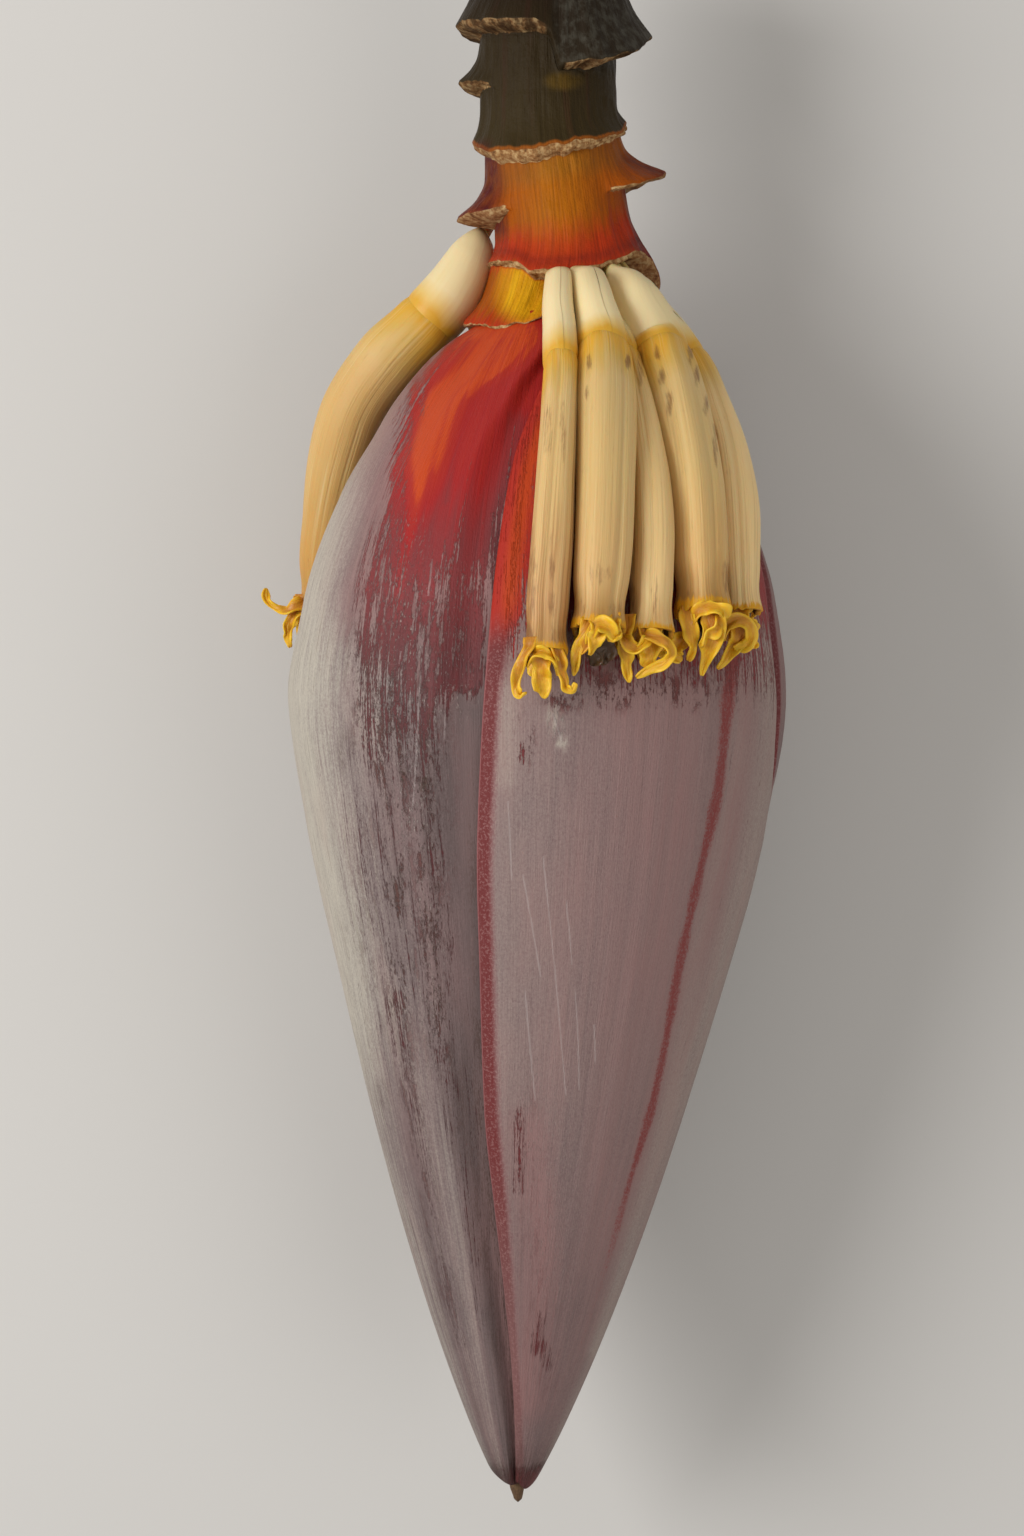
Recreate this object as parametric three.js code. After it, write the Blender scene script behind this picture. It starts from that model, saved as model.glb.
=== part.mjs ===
// Banana blossom lying on its back: a heart-shaped bud of three overlapping bracts on a
// knotted stalk, with a hand of male flowers on its right shoulder and one on its left.
// Millimetres, +Z up. +Y runs along the blossom towards its stalk and +X to its right.
// The origin is on the resting surface, under the middle of the whole blossom.
// Inside the group, places are [y along the axis, angle round it, distance from it], with
// y = 0 at the widest ring and the angle counted from straight up towards +X.

import * as THREE from 'three';

// ---- driving dimensions ------------------------------------------------------------

const WIDEST_RADIUS = 44.6;
const FLAT_DEPTH = 1.8; // how far the weight has pressed the widest ring flat
const AXIS_HEIGHT = WIDEST_RADIUS - FLAT_DEPTH;
const MIDDLE = { x: 0, y: 2.0 }; // the widest ring's centre, from the origin

const BRACT_THICKNESS = 2.0;
const FLAT_THICKNESS = 1.6; // of the back bract over the resting flat
const BRACT_THINNEST = 0.7; // where the bracts run together at the tip
const MARGIN_SHARE = 0.42; // a free margin's thickness, as a share of the bract's
const MARGIN_BEVEL = 7.0; // degrees over which a margin thins
const TUCK_BLEND = 9.0; // degrees over which a bract dips under its neighbour
const TUCK_LEAD = 4.0; // degrees before the neighbour's margin where the dip is done
const CLEARANCE = 0.5; // between bracts that lie on each other
const TOUCH_GAP = 0.35; // between pieces that butt

const TIP_END = -145; // where the bud's outline runs out

const STALK_TOP = 140.4;
const STALK_RADIUS = 12.2;
const NECK_RADIUS = 7.0; // the stalk's end inside the bracts
const NECK_TOP = 69.4;
const NECK_END = 56.0;
const RECESS_DEPTH = 2.6; // the bed that the hand of flowers grows from
const BED_LENGTH = 3.6;
const UNDERCUT = 0.3;
const EDGE_ROUNDING = 1.0;

const OVARY_LENGTH = 19.5;
const LONG_OVARY_LENGTH = 23.2; // of the first flower
const LOBE_LENGTH = 5.2;
const LOBE_CURL = 0.9;
const LOBES = 5;
const TEPAL_WALL = 0.9;
const GROOVE = 0.35; // how deep the furrows between the joined tepals are
const COLLAR_STEP = 1.2; // how soon a tepal tube reaches its full width
const MOUTH_DEPTH = 9.0;

// The bud's outline: [y, radius].
const BUD_OUTLINE = [
  [70, 11.0], [61.4, 18.5], [48.6, 28.3], [36, 36.2], [18, 42.3], [0, WIDEST_RADIUS],
  [-21.6, 41.5], [-50.4, 34.6], [-79.2, 26.7], [-108, 17.3], [-129.6, 8.8], [-140.4, 3.6], [TIP_END, 0.9],
];

// The blossom's slightly swaying centre line: [y, sideways offset].
const CENTRE_LINE = [
  [-144, -4.1], [-108, -2.9], [-72, -1.7], [-36, -0.5], [0, 0], [52, 1.0], [68, 2.4],
  [80, 4.6], [91, 3.6], [104, 2.1], [118, 1.8], [142, 2.6],
];

// The inner bud's dry point, past the tips of the bracts: [y, radius].
const BROWN_POINT = [[-141, 1.0], [-142, 1.8], [-143.4, 1.5], [-144.4, 0.6]];

// Scar collars left on the stalk by fallen bracts, from the cut end down. Each gives the
// lip's y and its flare at the front, right, back and left.
const COLLARS = [
  { lip: [117.5, 121.3, 115.5, 120.6], flare: [2.2, 5.8, 2.0, 1.6] },
  { lip: [110.5, 110.0, 109.0, 111.0], flare: [0.2, 0.4, 2.6, 3.2] },
  { lip: [96.9, 103.4, 99.0, 99.8], flare: [2.0, 1.5, 1.4, 2.4] },
  { lip: [89.5, 95.0, 90.0, 87.2], flare: [0.1, 7.2, 4.0, 6.4] },
  { lip: [77.4, 81.0, 80.0, 78.5], flare: [2.2, 1.6, 1.0, 1.4] },
];
const LIP_THICKNESS = 1.5;
// How a collar widens: [share of the way down to its lip, share of its flare].
const COLLAR_SHAPE = [[0.45, 0.12], [0.75, 0.45], [1, 1]];

// Where one bract's margin lies over the next: [y, angle].
const FRONT_SEAM = [
  [70, 24], [60, 6], [54, -2], [41.4, -9], [25, -11], [0, -13.4], [-36, -16.3],
  [-72, -16.4], [-90, -14], [-108, -10], [-126, -5], [TIP_END, 0],
];
const RIGHT_SEAM = [
  [70, 96], [45, 87], [25, 80], [8, 75], [-5, 77], [-18, 86], [-35, 94], [-60, 99], [TIP_END, 101],
];
const LEFT_SEAM = [[70, -100], [40, -112], [0, -122], [-60, -118], [TIP_END, -112]];
const COVERED = 22; // degrees that a bract reaches on under its neighbour

// Each flower's centre path: [y, angle, distance, half width, half height].
const FLOWERS = {
  flower_1: [
    [75.4, -1.4, 13.0, 1.7, 2.4], [73, 0.6, 16.4, 1.9, 2.9], [68.9, 2.6, 20.6, 2.2, 3.3],
    [64.2, 4.2, 23.7, 2.4, 3.6], [57.2, 4.8, 29.3, 2.75, 3.9], [48.4, 3.6, 35.6, 3.1, 4.2],
    [37.7, 2.4, 41.5, 3.5, 4.3], [26.3, 1.6, 45.9, 3.75, 4.2], [16.1, 0.8, 48.1, 3.75, 4.2],
    [7.6, 0.5, 49, 3.7, 4.1],
  ],
  flower_2: [
    [75.5, 17.2, 13.3, 2.1, 2.4], [73, 17.6, 17, 2.4, 3], [68.8, 19, 21.8, 2.8, 3.6],
    [63.7, 20.8, 24.6, 3.7, 4.2], [57.3, 19.5, 29.7, 4.45, 4.4], [48.5, 17, 35.9, 4.8, 4.6],
    [37.7, 14.7, 41.8, 4.8, 4.6], [26.4, 13.1, 46.2, 4.7, 4.5], [17.8, 12.1, 47.9, 4.45, 4.4],
    [11.7, 11.5, 48.9, 4.1, 4.3],
  ],
  flower_3: [
    [75.6, 32, 11.9, 1.1, 1.5], [73.1, 30.5, 13.4, 1.2, 1.6], [68.4, 30, 17.4, 1.4, 1.8],
    [63.2, 33.6, 22.2, 1.4, 2.1], [57.8, 32.2, 27, 1.7, 2.4], [51.7, 30.4, 31.2, 2.1, 3],
    [44.4, 28.4, 36, 2.6, 3.4], [35.4, 26.3, 41.4, 3.0, 3.7], [25.8, 24.7, 45.2, 3.2, 3.8],
    [17.2, 23.6, 46.9, 3.2, 3.8], [10.8, 23, 47.9, 3.2, 3.8],
  ],
  flower_4: [
    [75.6, 46.8, 13.6, 2.3, 2.6], [72.9, 44.2, 17.4, 2.8, 3.1], [69.3, 43.1, 22, 3.5, 3.8],
    [64.4, 48, 24.2, 4.3, 4.3], [58, 45.6, 29.4, 4.75, 4.6], [49.7, 42, 35.3, 4.8, 4.7],
    [40.9, 39.1, 40.3, 4.65, 4.7], [32.1, 36.8, 44.3, 4.4, 4.6], [23.3, 35.5, 46.8, 4.2, 4.4],
    [15.4, 35.2, 48.1, 3.85, 4.1],
  ],
  flower_5: [
    [75.8, 70, 12.8, 2.1, 2.1], [73.1, 66, 15.8, 2.2, 2.4], [69.1, 64, 19.6, 2.5, 2.6],
    [63.5, 66, 24.8, 2.7, 2.9], [57, 63.8, 30, 3.25, 3.3], [49.4, 58.7, 34.9, 3.65, 3.6],
    [40.6, 53.3, 40.1, 3.75, 3.9], [31.6, 49.3, 44, 3.7, 4.0], [22.8, 46.9, 46.4, 3.3, 3.9],
    [14.6, 46.2, 47.7, 3, 3.7],
  ],
  flower_left: [
    [85.4, -119, 15.2, 2.1, 2.4], [82, -108, 16.4, 3.3, 3.2], [74.3, -104, 19.4, 4.7, 4.2],
    [67.6, -103, 24.1, 5.3, 4.7], [61.5, -103, 30, 5.6, 4.9], [52.3, -105, 36.2, 5.3, 4.8],
    [43.3, -110, 39.9, 4.9, 4.6], [34.9, -115.2, 43, 4.7, 4.4], [26.3, -119.6, 45.6, 4.5, 4.2],
    [18.2, -123, 47, 4.2, 4.1],
  ],
};

const BRACT_ROWS = 22;
const COLUMN_DEGREES = 9;
const STALK_SIDES = 26;
const FLOWER_SIDES = 3 * LOBES;
const TUBE_STRETCHES = 6;
const BUD_SIDES = 16;

// ---- curves ------------------------------------------------------------------------

const radians = THREE.MathUtils.degToRad;
const { lerp, clamp, smoothstep } = THREE.MathUtils;

// A smooth curve through [place, value] points, that never swings past them.
function curveThrough(points) {
  const p = [...points].sort((a, b) => a[0] - b[0]);
  const rise = p.slice(1).map((q, i) => (q[1] - p[i][1]) / (q[0] - p[i][0]));
  const slope = p.map((_, i) => {
    if (i === 0) return rise[0];
    if (i === p.length - 1) return rise[i - 1];
    return rise[i - 1] * rise[i] <= 0 ? 0 : (2 * rise[i - 1] * rise[i]) / (rise[i - 1] + rise[i]);
  });
  return (x) => {
    const at = clamp(x, p[0][0], p[p.length - 1][0]);
    const i = clamp(p.findIndex((q) => q[0] >= at) - 1, 0, p.length - 2);
    const width = p[i + 1][0] - p[i][0];
    const t = (at - p[i][0]) / width;
    const s = 1 - t;
    return s * s * (1 + 2 * t) * p[i][1] + t * t * (3 - 2 * t) * p[i + 1][1]
      + width * t * s * (s * slope[i] - t * slope[i + 1]);
  };
}

const budRadius = curveThrough(BUD_OUTLINE);
const centreOffset = curveThrough(CENTRE_LINE);
const bractThickness = (y) => clamp(0.5 + 0.1 * budRadius(y), BRACT_THINNEST, BRACT_THICKNESS);

// A value given at the front, right, back and left, blended round the stalk.
function round([front, right, back, left], angle) {
  const up = Math.cos(radians(angle));
  const side = Math.sin(radians(angle));
  return (up > 0 ? front : back) * up * up + (side > 0 ? right : left) * side * side;
}

// The point at this y, angle and distance from the blossom's centre line.
function place(y, angle, distance) {
  const a = radians(angle);
  return new THREE.Vector3(centreOffset(y) + distance * Math.sin(a), y, distance * Math.cos(a));
}

// The y of a share of the way down the bud, with even steps along its outline.
const outlineSteps = (() => {
  const count = 400;
  const ys = Array.from({ length: count + 1 }, (_, i) => lerp(NECK_TOP, TIP_END, i / count));
  const lengths = [0];
  for (let i = 1; i <= count; i++) {
    lengths.push(lengths[i - 1] + Math.hypot(ys[i] - ys[i - 1], budRadius(ys[i]) - budRadius(ys[i - 1])));
  }
  const total = lengths[count];
  return curveThrough(lengths.map((l, i) => [l / total, ys[i]]).filter((_, i) => i % 8 === 0));
})();

// ---- solids ------------------------------------------------------------------------

// A closed body from points and triangles, with its faces turned outwards.
function closedBody(points, faces) {
  const cross = new THREE.Vector3();
  const volume = faces.reduce((sum, [a, b, c]) =>
    sum + cross.crossVectors(points[b], points[c]).dot(points[a]), 0);
  const turned = volume > 0 ? faces : faces.map(([a, b, c]) => [a, c, b]);
  const geometry = new THREE.BufferGeometry().setFromPoints(points);
  geometry.setIndex(turned.flat());
  geometry.computeVertexNormals();
  return geometry;
}

// A solid through rings of points, closed at both ends by a fan.
function ringSolid(rings) {
  const n = rings[0].length;
  const points = rings.flat();
  const faces = [];
  for (let r = 0; r + 1 < rings.length; r++) {
    for (let i = 0; i < n; i++) {
      const a = r * n + i;
      const b = r * n + ((i + 1) % n);
      faces.push([a, b, b + n], [a, b + n, a + n]);
    }
  }
  const middle = (ring) => ring.reduce((sum, p) => sum.add(p), new THREE.Vector3()).divideScalar(n);
  const first = points.push(middle(rings[0])) - 1;
  const last = points.push(middle(rings[rings.length - 1])) - 1;
  const end = (rings.length - 1) * n;
  for (let i = 0; i < n; i++) {
    const j = (i + 1) % n;
    faces.push([first, j, i], [last, end + i, end + j]);
  }
  return closedBody(points, faces);
}

// A thin solid between two grids of points, [row][column], split alike on both faces.
function shellSolid(outer, inner) {
  const rows = outer.length;
  const columns = outer[0].length;
  const points = [...outer.flat(), ...inner.flat()];
  const out = (r, c) => r * columns + c;
  const into = (r, c) => rows * columns + r * columns + c;
  const faces = [];
  for (let r = 0; r + 1 < rows; r++) {
    for (let c = 0; c + 1 < columns; c++) {
      faces.push([out(r, c), out(r, c + 1), out(r + 1, c + 1)]);
      faces.push([out(r, c), out(r + 1, c + 1), out(r + 1, c)]);
      faces.push([into(r, c), into(r + 1, c + 1), into(r, c + 1)]);
      faces.push([into(r, c), into(r + 1, c), into(r + 1, c + 1)]);
    }
  }
  const rim = [];
  for (let c = 0; c + 1 < columns; c++) rim.push([0, c]);
  for (let r = 0; r + 1 < rows; r++) rim.push([r, columns - 1]);
  for (let c = columns - 1; c > 0; c--) rim.push([rows - 1, c]);
  for (let r = rows - 1; r > 0; r--) rim.push([r, 0]);
  rim.forEach(([r, c], i) => {
    const [s, d] = rim[(i + 1) % rim.length];
    faces.push([out(r, c), into(r, c), into(s, d)], [out(r, c), into(s, d), out(s, d)]);
  });
  return closedBody(points, faces);
}

// ---- bracts ------------------------------------------------------------------------

// One bract: from angle `from(y)` round to `to(y)`, and from its base down to its tip.
// `under(y, angle)` is 1 where it lies under a neighbour and 0 where it shows.
function bract({ from, to, base, tip, under, freeFrom, freeTo }) {
  const columns = Math.ceil((to(0) - from(0)) / COLUMN_DEGREES);
  const outer = [];
  const inner = [];
  for (let r = 0; r <= BRACT_ROWS; r++) {
    outer.push([]);
    inner.push([]);
    for (let c = 0; c <= columns; c++) {
      const across = c / columns;
      const down = (outlineSteps(r / BRACT_ROWS) - NECK_TOP) / (TIP_END - NECK_TOP);
      const y = lerp(base(across), tip(across), down);
      const angle = lerp(from(y), to(y), across);
      const thick = bractThickness(y);
      const bevel = (free, off) => (free ? lerp(MARGIN_SHARE, 1, smoothstep(off, 0, MARGIN_BEVEL)) : 1);
      const share = Math.min(bevel(freeFrom, angle - from(y)), bevel(freeTo, to(y) - angle));
      const inside = budRadius(y) - thick - under(y, angle) * (thick + CLEARANCE);
      const skin = place(y, angle, inside + thick * share);
      const lining = place(y, angle, inside);
      skin.z = Math.max(skin.z, -AXIS_HEIGHT);
      lining.z = Math.max(lining.z, FLAT_THICKNESS - AXIS_HEIGHT);
      outer[r].push(skin);
      inner[r].push(lining);
    }
  }
  return shellSolid(outer, inner);
}

const frontSeam = curveThrough(FRONT_SEAM);
const rightSeam = curveThrough(RIGHT_SEAM);
const leftSeam = curveThrough(LEFT_SEAM);
const dip = (past) => smoothstep(past, -TUCK_BLEND - TUCK_LEAD, -TUCK_LEAD);

// A bract's outline narrows to a rounded point at its tip and a shallow curve at its base.
const pointedTip = (end, depth) => (across) => end + depth * (2 * across - 1) ** 2;
const curvedBase = (top, drop) => (across) => top - drop * (2 * across - 1) ** 2;

const bractLeft = () => bract({
  from: (y) => leftSeam(y) - COVERED,
  to: (y) => frontSeam(y) + COVERED,
  base: curvedBase(69, 1.5),
  tip: pointedTip(-139.5, 9),
  under: (y, angle) => Math.max(dip(angle - frontSeam(y)), dip(leftSeam(y) - angle)),
});

const bractRight = () => bract({
  from: frontSeam,
  to: (y) => rightSeam(y) + COVERED,
  base: curvedBase(68.4, 2),
  tip: pointedTip(-141, 6),
  under: (y, angle) => dip(angle - rightSeam(y)),
  freeFrom: true,
});

const bractBack = () => bract({
  from: rightSeam,
  to: (y) => 360 + leftSeam(y),
  base: curvedBase(69, 2.5),
  tip: pointedTip(-137, 8),
  under: () => 0,
  freeFrom: true,
  freeTo: true,
});

// ---- inner bud ---------------------------------------------------------------------

// The bracts still packed inside, whose brown point shows at the blossom's tip.
function innerBud() {
  const stations = [NECK_END - 1, 44, 30, 14, -4, -26, -52, -80, -108, -126, -136];
  const profile = stations.map((y) => [y, budRadius(y) - 2 * bractThickness(y) - 2 * CLEARANCE - 0.9]);
  return ringSolid([...profile, ...BROWN_POINT].map(([y, radius]) =>
    Array.from({ length: BUD_SIDES }, (_, i) => place(y, (360 * i) / BUD_SIDES, radius))));
}

// ---- stalk -------------------------------------------------------------------------

// How deep the flowers' bed lies at this angle, 0 to 1.
const bed = (angle) => smoothstep(78 - Math.abs(angle - 42), 0, 30);

function stalk() {
  const ring = (distance, height) => Array.from({ length: STALK_SIDES }, (_, i) => {
    let angle = (360 * i) / STALK_SIDES;
    if (angle > 180) angle -= 360;
    return place(height(angle), angle, distance(angle));
  });
  const bedRadius = (angle) => STALK_RADIUS - RECESS_DEPTH * bed(angle);
  const rings = [
    ring(() => STALK_RADIUS - EDGE_ROUNDING, () => STALK_TOP),
    ring(() => STALK_RADIUS, () => STALK_TOP - EDGE_ROUNDING),
  ];
  let above = () => STALK_TOP - EDGE_ROUNDING;
  COLLARS.forEach(({ lip, flare }, k) => {
    const start = above;
    const lipY = (angle) => round(lip, angle);
    for (const [down, out] of COLLAR_SHAPE) {
      rings.push(ring((a) => STALK_RADIUS + out * round(flare, a), (a) => lerp(start(a), lipY(a), down)));
    }
    above = (angle) => lipY(angle) - LIP_THICKNESS;
    const below = k + 1 < COLLARS.length ? () => STALK_RADIUS : bedRadius;
    rings.push(ring((a) => STALK_RADIUS + 0.75 * round(flare, a), (a) => lipY(a) - 0.7 * LIP_THICKNESS));
    rings.push(ring((a) => below(a) - UNDERCUT, above));
  });
  rings.push(ring(bedRadius, () => NECK_TOP + BED_LENGTH));
  rings.push(ring((a) => bedRadius(a) - UNDERCUT, () => NECK_TOP + TOUCH_GAP));
  rings.push(ring(() => NECK_RADIUS, () => NECK_TOP));
  rings.push(ring(() => NECK_RADIUS, () => NECK_END + EDGE_ROUNDING));
  rings.push(ring(() => NECK_RADIUS - EDGE_ROUNDING, () => NECK_END));
  return ringSolid(rings);
}

// ---- flowers -----------------------------------------------------------------------

// A flower's path gives, at a length along it, the ring round it with this share of its
// width. `slide` moves each point along the path.
function flowerPath(points) {
  const curve = new THREE.CatmullRomCurve3(points.map(([y, angle, distance]) => place(y, angle, distance)));
  const length = curve.getLength();
  const share = (i) => i / (points.length - 1);
  const halfWidth = curveThrough(points.map((p, i) => [share(i), p[3]]));
  const halfHeight = curveThrough(points.map((p, i) => [share(i), p[4]]));
  const ring = (at, grow = () => 0, slide = () => 0) => Array.from({ length: FLOWER_SIDES }, (_, i) => {
    const turn = (2 * Math.PI * i) / FLOWER_SIDES;
    const along = clamp(at / length, 0, 1);
    const knot = curve.getUtoTmapping(along);
    const centre = curve.getPointAt(along);
    const ahead = curve.getTangentAt(along);
    const outward = new THREE.Vector3(centre.x - centreOffset(centre.y), 0, centre.z).normalize();
    outward.addScaledVector(ahead, -outward.dot(ahead)).normalize();
    const across = new THREE.Vector3().crossVectors(ahead, outward);
    return centre.clone()
      .addScaledVector(across, Math.sin(turn) * (halfWidth(knot) + grow(i)))
      .addScaledVector(outward, Math.cos(turn) * (halfHeight(knot) + grow(i)))
      .addScaledVector(ahead, slide(i));
  });
  return { ring, length };
}

function ovary(path, end) {
  const outline = [[0, -1.2], [1, -0.4], [5, 0], [11, 0.1], [end - 2, 0.1], [end, -0.5]];
  return ringSolid(outline.map(([at, grow]) => path.ring(at, () => grow)));
}

// The joined tepals: a ribbed tube that splits into curled lobes round an open mouth.
function tepals(path, ovaryEnd) {
  const start = ovaryEnd + TOUCH_GAP;
  const mouth = path.length;
  const lobe = (i) => (i % 3 === 0 ? 0 : 1); // a furrow runs down every third side
  const ribbed = (i) => GROOVE * (lobe(i) - 1);
  const rings = [path.ring(start, () => -GROOVE), path.ring(start + COLLAR_STEP, () => 0.1)];
  for (let k = 1; k <= TUBE_STRETCHES; k++) {
    rings.push(path.ring(lerp(start + COLLAR_STEP, mouth, k / TUBE_STRETCHES), ribbed));
  }
  const rim = (share, inwards) => path.ring(
    mouth,
    (i) => LOBE_CURL * share ** 2 * lobe(i) + ribbed(i) - inwards,
    (i) => LOBE_LENGTH * share * (0.15 + 0.85 * lobe(i)),
  );
  rings.push(rim(0.5, 0), rim(1, 0.1), rim(1, TEPAL_WALL - 0.1), rim(0.5, TEPAL_WALL));
  rings.push(path.ring(mouth, () => -TEPAL_WALL - GROOVE));
  rings.push(path.ring(mouth - MOUTH_DEPTH, () => -2 * TEPAL_WALL));
  return ringSolid(rings);
}

// ---- the blossom -------------------------------------------------------------------

const finish = (color, roughness) => new THREE.MeshStandardMaterial({ color, roughness, metalness: 0 });
const STALK_FINISH = finish(0x6f5a3a, 0.6);
const BRACT_FINISHES = {
  bract_left: finish(0x8d4a52, 0.5),
  bract_right: finish(0x94717c, 0.55),
  bract_back: finish(0x8a6470, 0.55),
};
const TIP_FINISH = finish(0x5e3a2a, 0.6);
const OVARY_FINISH = finish(0xe9e0c8, 0.4);
const TEPAL_FINISH = finish(0xd9a860, 0.45);

const blossom = new THREE.Group();
blossom.position.set(MIDDLE.x, MIDDLE.y, AXIS_HEIGHT);

function add(name, geometry, material) {
  const mesh = new THREE.Mesh(geometry, material);
  mesh.name = name;
  blossom.add(mesh);
}

add('stalk', stalk(), STALK_FINISH);
add('inner_bud', innerBud(), TIP_FINISH);
add('bract_left', bractLeft(), BRACT_FINISHES.bract_left);
add('bract_right', bractRight(), BRACT_FINISHES.bract_right);
add('bract_back', bractBack(), BRACT_FINISHES.bract_back);
for (const [name, points] of Object.entries(FLOWERS)) {
  const path = flowerPath(points);
  const ovaryEnd = name === 'flower_1' ? LONG_OVARY_LENGTH : OVARY_LENGTH;
  add(`${name}_ovary`, ovary(path, ovaryEnd), OVARY_FINISH);
  add(`${name}_tepals`, tepals(path, ovaryEnd), TEPAL_FINISH);
}

export default blossom;
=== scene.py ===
import math
from types import SimpleNamespace

import bpy
import numpy as np
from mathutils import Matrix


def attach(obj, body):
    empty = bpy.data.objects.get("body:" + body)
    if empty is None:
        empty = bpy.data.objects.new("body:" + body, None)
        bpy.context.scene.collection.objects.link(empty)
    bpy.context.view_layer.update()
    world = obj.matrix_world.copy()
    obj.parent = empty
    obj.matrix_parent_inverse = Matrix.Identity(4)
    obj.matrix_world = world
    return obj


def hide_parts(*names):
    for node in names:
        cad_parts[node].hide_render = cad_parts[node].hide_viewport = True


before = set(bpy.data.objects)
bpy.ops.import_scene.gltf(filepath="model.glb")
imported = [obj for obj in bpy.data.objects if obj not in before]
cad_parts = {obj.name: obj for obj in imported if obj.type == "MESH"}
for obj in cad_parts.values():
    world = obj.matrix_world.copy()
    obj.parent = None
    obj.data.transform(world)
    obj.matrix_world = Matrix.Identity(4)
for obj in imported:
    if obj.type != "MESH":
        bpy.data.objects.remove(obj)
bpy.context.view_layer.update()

# Looks of a banana blossom lying on its back: three overlapping waxy bracts, a knotted stalk
# with torn scar collars, six male flowers with curled yellow lobes, and a dry brown tip.
# Shapes are worked out in millimetres about the widest ring's centre: x to the blossom's right,
# y along it towards the stalk, z up. An angle runs round the axis from straight up towards x.

bl_info = {
    "name": "Banana blossom",
    "version": (1, 0, 0),
    "blender": (4, 5, 0),
    "location": "View3D > Sidebar > Blossom",
    "description": "Builds the bracts, stalk, flowers and stage of a banana blossom",
    "category": "Add Mesh",
}

MM = 0.001

# ---- sizes shared with the solids, in mm and degrees ----------------------------------

RING_CENTRE = (0.0, 2.0, 42.8)
WIDEST_RADIUS = 44.6
AXIS_HEIGHT = 42.8
NECK_TOP = 69.4
TIP_END = -145.0
STALK_TOP = 140.4
STALK_RADIUS = 12.2
NECK_RADIUS = 7.0
NECK_END = 56.0
OVARY_LENGTH = 19.5
LONG_OVARY_LENGTH = 23.2
COVERED = 22.0  # how far a bract reaches on under its neighbour
TUCK_BLEND = 9.0  # over how many degrees it dips under
TUCK_LEAD = 4.0  # how far before the neighbour's margin the dip is done
RECESS_DEPTH = 2.6  # the bed that the flowers sat in

BUD_OUTLINE = [
    (70, 11.0), (61.4, 18.5), (48.6, 28.3), (36, 36.2), (18, 42.3), (0, WIDEST_RADIUS),
    (-21.6, 41.5), (-50.4, 34.6), (-79.2, 26.7), (-108, 17.3), (-129.6, 8.8), (-140.4, 3.6),
    (TIP_END, 0.9),
]
CENTRE_LINE = [
    (-144, -4.1), (-108, -2.9), (-72, -1.7), (-36, -0.5), (0, 0), (52, 1.0), (68, 2.4),
    (80, 4.6), (91, 3.6), (104, 2.1), (118, 1.8), (142, 2.6),
]
FRONT_SEAM = [
    (70, 24), (60, 6), (54, -2), (41.4, -9), (25, -11), (0, -12.6), (-36, -15.8),
    (-72, -16.4), (-90, -14), (-108, -10), (-126, -5), (TIP_END, 0),
]
RIGHT_SEAM = [
    (70, 96), (45, 87), (25, 80), (8, 75), (-5, 77), (-18, 86), (-35, 94), (-60, 99),
    (TIP_END, 101),
]
LEFT_SEAM = [(70, -100), (40, -112), (0, -122), (-60, -118), (TIP_END, -112)]

# Scar collars from the cut end down, by the angle round the stalk. Each point gives the angle,
# the lip's y, how far the lip stands out, and how far the torn scar runs on below the lip.
COLLARS = [
    [
        (-150, 118.5, 2.6, 2.4), (-90, 121.7, 4.3, 4.4), (-45, 121.0, 3.5, 4.2), (-10, 120.3, 2.6, 3.8),
        (0, 119.4, 1.8, 3.2), (9, 113.0, 2.4, 1.8), (30, 113.3, 4.2, 2.4), (60, 115.8, 5.6, 2.8),
        (88, 119.4, 6.6, 3.2), (130, 118.0, 3.4, 2.4), (180, 116.5, 2.2, 2.0),
    ],
    [
        (-180, 109.5, 2.8, 2.0), (-130, 110.5, 3.4, 2.4), (-92, 111.3, 3.7, 2.6), (-62, 110.6, 1.3, 1.4),
        (-42, 110.0, 0.0, 0.2), (115, 109.5, 0.0, 0.2), (150, 109.5, 1.8, 1.4),
    ],
    [
        (-180, 99.0, 1.5, 1.8), (-85, 100.3, 2.0, 2.6), (-50, 97.6, 2.2, 3.3), (-15, 97.7, 2.2, 3.3),
        (15, 98.9, 2.1, 2.7), (38, 99.8, 1.9, 2.3), (70, 102.3, 1.6, 1.9), (88, 104.0, 1.5, 1.6),
        (130, 101.5, 1.4, 1.6),
    ],
    [
        (-170, 90.0, 3.8, 2.2), (-120, 88.0, 6.0, 2.4), (-90, 87.0, 6.8, 2.4), (-68, 87.5, 4.4, 2.2),
        (-50, 88.3, 0.9, 1.4), (-38, 89.0, 0.0, 0.2), (38, 91.4, 0.0, 0.2), (54, 92.0, 2.4, 1.2),
        (74, 93.6, 5.4, 1.6), (90, 95.1, 7.2, 1.8), (130, 93.0, 4.4, 1.8),
    ],
    [
        (-180, 78.0, 1.2, 1.6), (-78, 79.0, 1.1, 1.2), (-45, 78.4, 1.6, 1.6), (-17, 76.2, 2.0, 2.2),
        (25, 77.2, 2.2, 2.4), (42, 78.6, 2.2, 3.0), (74, 80.6, 2.2, 3.0), (92, 78.0, 4.6, 2.2),
        (108, 74.6, 6.8, 2.0), (135, 75.4, 4.0, 2.0),
    ],
    [
        (-180, 67.6, 2.2, 0.5), (-90, 68.0, 3.3, 0.6), (-60, 67.2, 3.2, 0.7), (-42, 66.7, 2.8, 0.8),
        (-18, 67.0, 2.2, 0.7), (-3, 68.6, 1.2, 0.4), (20, 70.4, -1.2, 0.1), (80, 70.4, -1.2, 0.1),
        (110, 68.6, 1.4, 0.4), (140, 67.6, 2.2, 0.5),
    ],
]
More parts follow.
